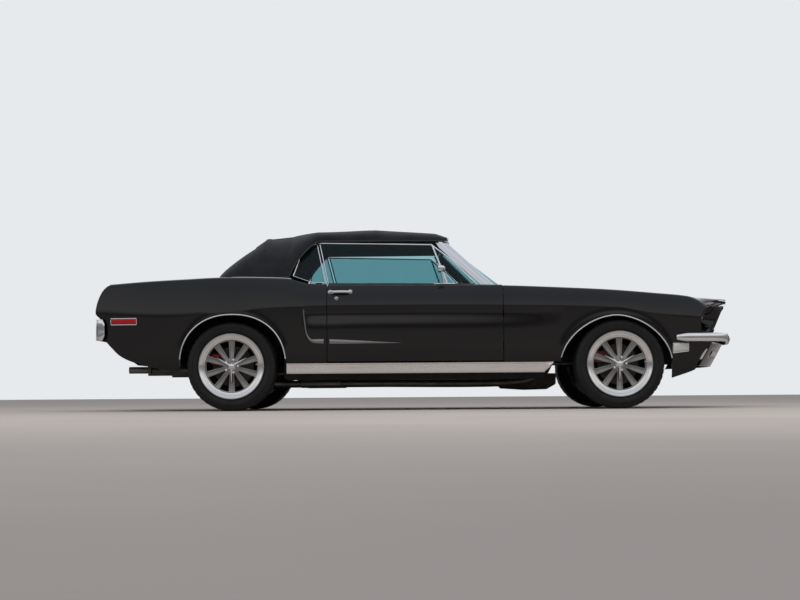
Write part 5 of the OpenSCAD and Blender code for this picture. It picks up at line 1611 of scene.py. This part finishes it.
def tyre_part():
    n = 264
    half = TYRE_W / 2
    bead = RIM_R + 0.5
    side_profile = [(bead, half - 21), (bead + 6, half - 19), (bead + 9, half - 15),
                    (bead + 16, half - 12), (bead + 18, half - 14), (bead + 22, half - 9),
                    (RIM_R + 34, half - 3.5), (RIM_R + 44, half - 1), (RIM_R + 56, half),
                    (RIM_R + 58, half - 2), (RIM_R + 60, half - 0.5), (TYRE_R - 26, half - 4),
                    (TYRE_R - 15, half - 9), (TYRE_R - 9, half - 14)]
    tread = [(TYRE_R - 4.5, half - 19), (TYRE_R - 2.5, half - 26), (TYRE_R - 1, half - 36)]
    lanes = [(TYRE_R - 0.2, 58), (TYRE_R - 8, 56), (TYRE_R - 8, 50), (TYRE_R, 48),
             (TYRE_R, 30), (TYRE_R - 8, 28), (TYRE_R - 8, 22), (TYRE_R, 20), (TYRE_R, 0.01)]
    profile = side_profile + tread + lanes
    full = profile + [(r, -y) for r, y in reversed(profile[:-1])]
    rings = []
    for r, y in full:
        ring = []
        for k in range(n):
            sipe = (k + (3 if abs(y) > 30 else 0)) % 6 == 0
            rr = r - 5 if r > TYRE_R - 5 and sipe and abs(y) > 3 else r
            a = 360 * k / n + y * 0.03
            ring.append((rr * sind(a), y, rr * cosd(a)))
        rings.append(ring)
    rings.append(rings[0])
    return loft(rings, caps=False)


tyre_mesh = tyre_part()
for end, x in (("front", X_FA), ("rear", X_RA)):
    wheel = f"wheel_{end}_{{}}"
    for name, part, mat, slot, node, finish in (
            ("rim", rim, POLISHED, "wheel_alloy", wheel, {"sharp": 40}),
            ("spokes", wheel_face, GUNMETAL, "wheel_alloy", "", {"sharp": 40, "bevel": 0.6}),
            ("spinner", cap_part, POLISHED, "chrome", "", {"sharp": 40}),
            ("lug_nuts", nuts, CHROME, "chrome", "", {}),
            ("brake_disc", disc, IRON, "dark_iron", "", {}),
            ("tyre_tread", tyre_mesh, RUBBER, "tyre", f"tyre_{end}_{{}}", {"sharp": 30})):
        both(f"{name}_{end}", moved(part, x, TRACK / 2, AXLE_Z), mat, slot, node, wheel, **finish)

KING_Y = TRACK / 2 - 83


def caliper(x0, x1):
    rings = []
    for x in fine(x0, x1, 6):
        e = 6 if x in (x0, x1) else 0
        rings.append([(x, KING_Y + 8, AXLE_Z + 14 + e), (x, KING_Y + 8, AXLE_Z + 86 - e),
                      (x, KING_Y + 16, AXLE_Z + 94 - e), (x, KING_Y + 70, AXLE_Z + 94 - e),
                      (x, KING_Y + 78, AXLE_Z + 86 - e), (x, KING_Y + 78, AXLE_Z + 14 + e),
                      (x, KING_Y + 66, AXLE_Z + 14 + e), (x, KING_Y + 64, AXLE_Z + 78 - e),
                      (x, KING_Y + 32, AXLE_Z + 78 - e), (x, KING_Y + 30, AXLE_Z + 14 + e)])
    return loft(rings)


shield = lathe([(30, 0), (150, 0), (188, 4), (196, 16), (199, 16), (190, 0), (150, -4), (30, -4)],
               64, closed=True)


upright = join(
    tube([(X_FA, KING_Y, AXLE_Z - 114), (X_FA, KING_Y, AXLE_Z - 86), (X_FA, KING_Y, AXLE_Z + 139),
          (X_FA, KING_Y, AXLE_Z + 168)], 9.9, 20),
    loft([[(X_FA + a * w, KING_Y + b, z) for a, b in
           ((-1, -13), (1, -13), (1, 18), (-1, 18))]
          for z, w in ((AXLE_Z - 82, 15), (AXLE_Z - 40, 20), (AXLE_Z + 40, 20),
                       (AXLE_Z + 132, 13))]),
    moved(lathe([(0.01, 10), (30, 10), (26, 24), (17.9, 34), (17.9, 128), (0.01, 128)], 28),
          X_FA, KING_Y, AXLE_Z),
    tube([(X_FA, KING_Y + 8, AXLE_Z + 50), (X_FA - 150, KING_Y + 8, AXLE_Z + 50)], 9, 12))
KNUCKLE = "knuckle_{}"
both("upright", upright, IRON, "dark_iron", KNUCKLE, KNUCKLE, bevel=0.8)
for end, x, body, front in (("front", X_FA, KNUCKLE, 170), ("rear", X_RA, "body_shell", 160)):
    both(f"{end}_dust_shield", moved(shield, x, TRACK / 2 - 66, AXLE_Z), UNDER, "dark_iron",
         body=body)
    both(f"{end}_caliper", moved(caliper(X_FA - front, X_FA - 98), x - X_FA), CALIPER,
         "dark_iron", body=body, bevel=2)

# ---- exhaust -------------------------------------------------------------------------

Y_EX = 330


def muffler():
    rings = []
    for x, s in ((X_RA + 452, 0.86), (X_RA + 456, 0.97), (X_RA + 464, 1.0), (X_RA + 600, 1.0),
                 (X_RA + 746, 1.0), (X_RA + 754, 0.97), (X_RA + 758, 0.86)):
        rings.append([(x, Y_EX + 74 * s * cosd(a) * squircle(a, 3),
                       193 + 31 * s * sind(a) * squircle(a, 3)) for a in fine(0, 350, 35)])
    return loft(rings)


pipe_one = smooth_path([(X_FA - 560, Y_EX - 60, 290), (X_FA - 700, Y_EX - 20, 196),
                        (X_RA + 1000, Y_EX, 193), (X_RA + 740, Y_EX, 193)], 8)
pipe_two = smooth_path([(X_RA + 470, Y_EX + 20, 193), (X_RA + 250, Y_EX + 60, 196),
                        (X_RA + 120, Y_EX + 60, 230), (X_RA - 120, Y_EX + 60, 236),
                        (X_RA - 330, Y_EX + 78, 296), (X_TAIL + 300, Y_EX + 82, 300),
                        (X_TAIL + 184, Y_EX + 82, 300)], 8)
for side, word in SIDES:
    piece(f"exhaust_{word}", *join(muffler(), tube(pipe_one, 25, 18),
                                   tube(pipe_two, 25, 18)), STEEL, "body_shell",
          "exhaust_steel", "exhaust" if side == 1 else (), side=side)

PAN = [(560, 0.7, 196), (600, 1.0, 150), (780, 1.0, 138), (940, 1.0, 142), (1010, 0.8, 180)]
PAN_HALF = [(0.7, 0), (0.9, 0.1), (1, 0.5), (1.1, 1)]
PAN_SIDE = [(-c, t) for c, t in reversed(PAN_HALF)] + PAN_HALF
sump = loft([[(x, 150 * f * c, lerp(low, 262, t)) for c, t in PAN_SIDE] for x, f, low in PAN])
piece("gearbox_pan", *sump, IRON, "body_shell", "dark_iron", bevel=4)

# ---- cabin ---------------------------------------------------------------------------

SEAT_W, TUNNEL_Y, FLOOR_TOP = 500.0, 128.0, 245.0
SEAT_Y = TUNNEL_Y + 22 + SEAT_W / 2
SEAT_X, SEAT_Z = DOOR_REAR + 60, FLOOR_TOP + 0.3


def pad_block(sections, half, crown, n=24, pleats=0, depth=4.0):
    """A cushion lofted across the car from a side outline, crowned and drawn in at its ends."""
    rings = []
    for k in range(n + 1):
        v = -1 + 2 * k / n
        s = (1 - abs(v) ** 5) ** 0.2
        cx = sum(p[0] for p in sections) / len(sections)
        cz = sum(p[1] for p in sections) / len(sections)
        ring = []
        for x, z in sections:
            f = lerp(0.80, 1.0, s) if abs(v) < 1 else 0.78
            bulge = crown * (1 - v * v)
            dx, dz = x - cx, z - cz
            length = math.hypot(dx, dz) or 1
            dip = depth * abs(math.sin(math.pi * pleats * v / 2)) ** 6 if pleats else 0
            ring.append((cx + dx * f + (bulge - dip) * dx / length, half * v,
                         cz + dz * f + (bulge - dip) * dz / length))
        rings.append(ring)
    return loft(rings)


def rounded(points, n=4):
    """A closed outline with its corners softened."""
    pts = [Vector((p[0], p[1])) for p in points]
    out = []
    for i, p in enumerate(pts):
        a, b = pts[i - 1], pts[(i + 1) % len(pts)]
        ra, rb = min(38, (a - p).length * 0.45), min(38, (b - p).length * 0.45)
        s, e = p + (a - p).normalized() * ra, p + (b - p).normalized() * rb
        for k in range(n + 1):
            t = k / n
            out.append(tuple((s.lerp(p, t)).lerp(p.lerp(e, t), t)))
    return out


PRESSURE, PUFF_FRAMES, PUFF_LIMIT = 4.0, 12, 0.006


def puff(obj):
    """Cloth pressure on a cushion, its movement capped, then applied."""
    scene = bpy.context.scene
    rest = [v.co.copy() for v in obj.data.vertices]
    cloth = obj.modifiers.new("puff", "CLOTH")
    cloth.settings.use_pressure = True
    cloth.settings.uniform_pressure_force = PRESSURE
    cloth.settings.effector_weights.gravity = 0.0
    cloth.settings.quality = 4
    cloth.settings.tension_stiffness = 12
    cloth.settings.bending_stiffness = 1.5
    for f in range(1, PUFF_FRAMES + 1):
        scene.frame_set(f)
    deps = bpy.context.evaluated_depsgraph_get()
    got = obj.evaluated_get(deps).to_mesh()
    new = [v.co.copy() for v in got.vertices]
    obj.evaluated_get(deps).to_mesh_clear()
    obj.modifiers.remove(cloth)
    for v, a, b in zip(obj.data.vertices, rest, new):
        d = b - a
        if d.length > PUFF_LIMIT:
            d = d.normalized() * PUFF_LIMIT
        v.co = a + d
    scene.frame_set(1)


def cushion(name, part, body, slot_name, node, side):
    obj = piece(name, *part, VINYL, body, slot_name, node, side, sharp=180)
    puff(obj)


base_line = rounded([(SEAT_X + 118, SEAT_Z + 82), (SEAT_X + 586, SEAT_Z + 82),
                     (SEAT_X + 606, SEAT_Z + 176), (SEAT_X + 556, SEAT_Z + 214),
                     (SEAT_X + 166, SEAT_Z + 186)])
back_line = rounded([(SEAT_X + 40, SEAT_Z + 178), (SEAT_X + 150, SEAT_Z + 196),
                     (SEAT_X + 46, SEAT_Z + 636), (SEAT_X - 28, SEAT_Z + 636)])
for side, word in SIDES:
    base = moved(pad_block(base_line, SEAT_W / 2 - 12, 5, pleats=10), dy=SEAT_Y)
    back = moved(pad_block(back_line, SEAT_W / 2 - 16, 5, pleats=10), dy=SEAT_Y)
    cushion(f"seat_cushion_{word}", base, "body_shell", "seat_vinyl",
            "front_seats" if side == 1 else (), side)
    cushion(f"seat_back_{word}", back, "body_shell", "seat_vinyl", (), side)
    runners = join(*[block((SEAT_X + 130, SEAT_X + 560), (SEAT_Y + d - 12, SEAT_Y + d + 12),
                           (SEAT_Z, SEAT_Z + 84)) for d in (-190, 190)])
    piece(f"seat_runners_{word}", *runners, IRON, "body_shell", "dark_iron", side=side, bevel=2)

RS_LOW = 454.3
RS_BACK = BOW_X - 207.7
WELL_Y = HALF_W - 345
rear_base = rounded([(RS_BACK + 90, RS_LOW + 8), (RS_BACK + 372, RS_LOW + 8),
                     (RS_BACK + 382, RS_LOW + 104), (RS_BACK + 336, RS_LOW + 128),
                     (RS_BACK + 130, RS_LOW + 108)])
rear_back = rounded([(RS_BACK + 8, RS_LOW + 60), (RS_BACK + 128, RS_LOW + 110),
                     (RS_BACK + 84, RS_LOW + 392), (RS_BACK + 8, RS_LOW + 392)])
cushion("rear_cushion", pad_block(rear_base, WELL_Y - 18, 5, 40, pleats=22), "body_shell",
        "seat_vinyl", "rear_seat", 1)
cushion("rear_backrest", pad_block(rear_back, WELL_Y - 18, 5, 40, pleats=22), "body_shell",
        "seat_vinyl", (), 1)

DASH = rounded([(DOOR_FRONT - 110, 690), (DOOR_FRONT - 22, 652), (DOOR_FRONT - 22, 826),
                (DOOR_FRONT - 60, 838), (DOOR_FRONT - 128, 832), (DOOR_FRONT - 141, 804)], 4)
dash_half = HALF_W - 200.5
dash = loft([[(x, y, z) for x, z in DASH] for y in fine(-dash_half, dash_half, 36)])
visor = loft([[(x, y, z) for x, z in rounded([(DOOR_FRONT - 150, 806), (DOOR_FRONT - 60, 820),
                                              (DOOR_FRONT - 62, 845), (DOOR_FRONT - 158, 842)], 3)]
              for y in fine(SEAT_Y - 230, SEAT_Y + 230, 16)])
COLUMN = (DOOR_FRONT - 330, SEAT_Y, BELT_Z - 93)
TILT = Matrix.Rotation(math.radians(-68), 3, "Y")


def on_column(part):
    return moved(turned(part, TILT), *COLUMN)


def lathe_z(profile, n=48, closed=False):
    return turned(lathe(profile, n, closed), Matrix.Rotation(math.radians(90), 3, "X"))


piece("dash_body", *join(dash, visor), PLASTIC, "body_shell", "dash_vinyl",
      "instrument_panel", bevel=1)


def on_column_down(part):
    return on_column(turned(part, Matrix.Scale(-1, 3, Vector((0, 0, 1)))))


piece("steering_column", *on_column_down(join(
    lathe_z([(0.01, -8), (11.9, -8), (11.9, 232), (0.01, 232)], 24),
    lathe_z([(0.01, 34), (26, 34), (31, 42), (31, 214), (0.01, 214)], 32))), PLASTIC,
    "body_shell", "dash_vinyl")
to_back = Matrix.Rotation(math.radians(90), 3, "Z")
gauges, bezels = [], []
for y in (SEAT_Y - 150, SEAT_Y - 50, SEAT_Y + 60, SEAT_Y + 160):
    r = 46 if abs(y - SEAT_Y) < 100 else 34
    spot = (DOOR_FRONT - 143, y, 770)
    gauges.append(moved(turned(lathe([(0.01, 0), (r - 4, 0), (r - 4, 2), (0.01, 2)], 36),
                               to_back), *spot))
    bezels.append(moved(turned(lathe([(r - 5, 0), (r - 5, 5), (r - 1, 7), (r + 3, 5), (r + 4, 0)],
                                     36, closed=True), to_back), *spot))
piece("gauge_dials", *join(*gauges), DIAL, "body_shell", "dash_vinyl")
piece("gauge_rings", *join(*bezels), CHROME, "body_shell", "chrome")
STEER_R = 190.0
wheel_rim = turned(lathe([(STEER_R + 13 * cosd(a), 13 * sind(a)) for a in range(0, 360, 30)],
                         80, closed=True), Matrix.Rotation(math.radians(90), 3, "X"))
arms = join(*[turned(loft([[(r, -13 + 3 * (r > 100), z), (r, 13 - 3 * (r > 100), z),
                            (r, 12 - 3 * (r > 100), z + 5), (r, -12 + 3 * (r > 100), z + 5)]
                           for r, z in ((24, -26), (70, -20), (120, -13), (STEER_R - 6, -5))]),
                     Matrix.Rotation(math.radians(180 + 120 * k), 3, "Z")) for k in range(3)])
boss = lathe_z([(12.2, 28), (42, 28), (42, -10), (34, -18), (0.01, -18), (0.01, -10),
                (12.2, -10)], 40)
piece("steering_rim", *on_column(wheel_rim), VINYL, "steering_wheel", "dash_vinyl",
      "steering_wheel")
piece("steering_arms", *on_column(arms), CHROME, "steering_wheel", "chrome", bevel=0.8)
piece("steering_boss", *on_column(boss), VINYL, "steering_wheel", "dash_vinyl")

TUNNEL_H = 178
carpet = [[(x, y, FLOOR_TOP + 2 + TUNNEL_H * (1 - ease((abs(y) - 120) / 26)))
           for y in fine(-760, 760, 60)] for x in fine(-950, 640, 60)]
piece("floor_carpet", *skin(carpet, 2, (0, 0, 1)), CARPET, "body_shell", "seat_vinyl")
shifter = join(tube(smooth_path([(120, 0, 420), (110, 0, 520), (60, 0, 600)], 5), 6, 12),
               moved(lathe_z([(0.01, -20), (14, -16), (19, 0), (14, 16), (0.01, 20)], 24),
                     56, 0, 612))
piece("gear_lever", *shifter, CHROME, "body_shell", "chrome")
console = loft([[(x, y, z) for y, z in ((-90, 424), (-84, 462), (-76, 468), (76, 468), (84, 462),
                                        (90, 424))] for x in fine(-420, 260, 20)])
piece("console", *console, PLASTIC, "body_shell", "dash_vinyl", bevel=1)

# ---- stage, light and camera ---------------------------------------------------------

def stage_plane(name, verts, mat):
    mesh = bpy.data.meshes.new(name)
    mesh.from_pydata(verts, [], [(0, 1, 2, 3)])
    obj = bpy.data.objects.new(name, mesh)
    bpy.context.scene.collection.objects.link(obj)
    mesh.materials.append(mat)
    return obj


FLOOR = material("studio_floor", (0.335, 0.30, 0.275), (0.37, 0.335, 0.305), (0.8, 0.95),
                 blotch=0.6, grain=40.0, bump=0.05, depth=0.001, Specular_IOR_Level=0.1)
stage_plane("floor", [(-40, -40, 0), (40, -40, 0), (40, 40, 0), (-40, 40, 0)], FLOOR)

world = bpy.data.worlds.new("studio")
bpy.context.scene.world = world
world.use_nodes = True
tree = world.node_tree
background = tree.nodes["Background"]
coords = tree.nodes.new("ShaderNodeTexCoord")
split = tree.nodes.new("ShaderNodeSeparateXYZ")
tree.links.new(coords.outputs["Generated"], split.inputs[0])
sky = tree.nodes.new("ShaderNodeValToRGB")
sky.color_ramp.elements[0].position = 0.0
sky.color_ramp.elements[0].color = (0.16, 0.16, 0.165, 1)
sky.color_ramp.elements[1].position = 0.75
sky.color_ramp.elements[1].color = (0.62, 0.66, 0.74, 1)
low = sky.color_ramp.elements.new(0.10)
low.color = (0.30, 0.30, 0.31, 1)
band = sky.color_ramp.elements.new(0.26)
band.color = (0.95, 0.93, 0.93, 1)
tree.links.new(split.outputs["Z"], sky.inputs[0])
rays = tree.nodes.new("ShaderNodeLightPath")
shown = tree.nodes.new("ShaderNodeMix")
shown.data_type = "RGBA"
tree.links.new(rays.outputs["Is Camera Ray"], shown.inputs[0])
tree.links.new(sky.outputs[0], shown.inputs[6])
shown.inputs[7].default_value = (0.80, 0.82, 0.84, 1)
tree.links.new(shown.outputs[2], background.inputs["Color"])
background.inputs["Strength"].default_value = 1.0

key = bpy.data.lights.new("key", "AREA")
key.shape = "RECTANGLE"
key.size, key.size_y = 9.0, 6.0
key.energy = 520
key_obj = bpy.data.objects.new("key", key)
key_obj.location = (0.5, -4.5, 7.0)
key_obj.rotation_euler = (math.radians(32), 0, 0)
key_obj.visible_glossy = False
bpy.context.scene.collection.objects.link(key_obj)

YAW, PITCH, ROLL = 0.828, 93.505, -0.385
EYE, LENS_MM = (0.009, -11.66, 0.115), 68.9
camera_data = bpy.data.cameras.new("camera")
camera_data.lens = LENS_MM
camera_data.sensor_width = 36.0
camera_obj = bpy.data.objects.new("camera", camera_data)
turn = (Matrix.Rotation(math.radians(YAW), 4, "Z") @ Matrix.Rotation(math.radians(PITCH), 4, "X")
        @ Matrix.Rotation(math.radians(ROLL), 4, "Z"))
camera_obj.matrix_world = Matrix.Translation(EYE) @ turn
bpy.context.scene.collection.objects.link(camera_obj)
bpy.context.scene.camera = camera_obj

bpy.context.scene.view_settings.view_transform = "Standard"
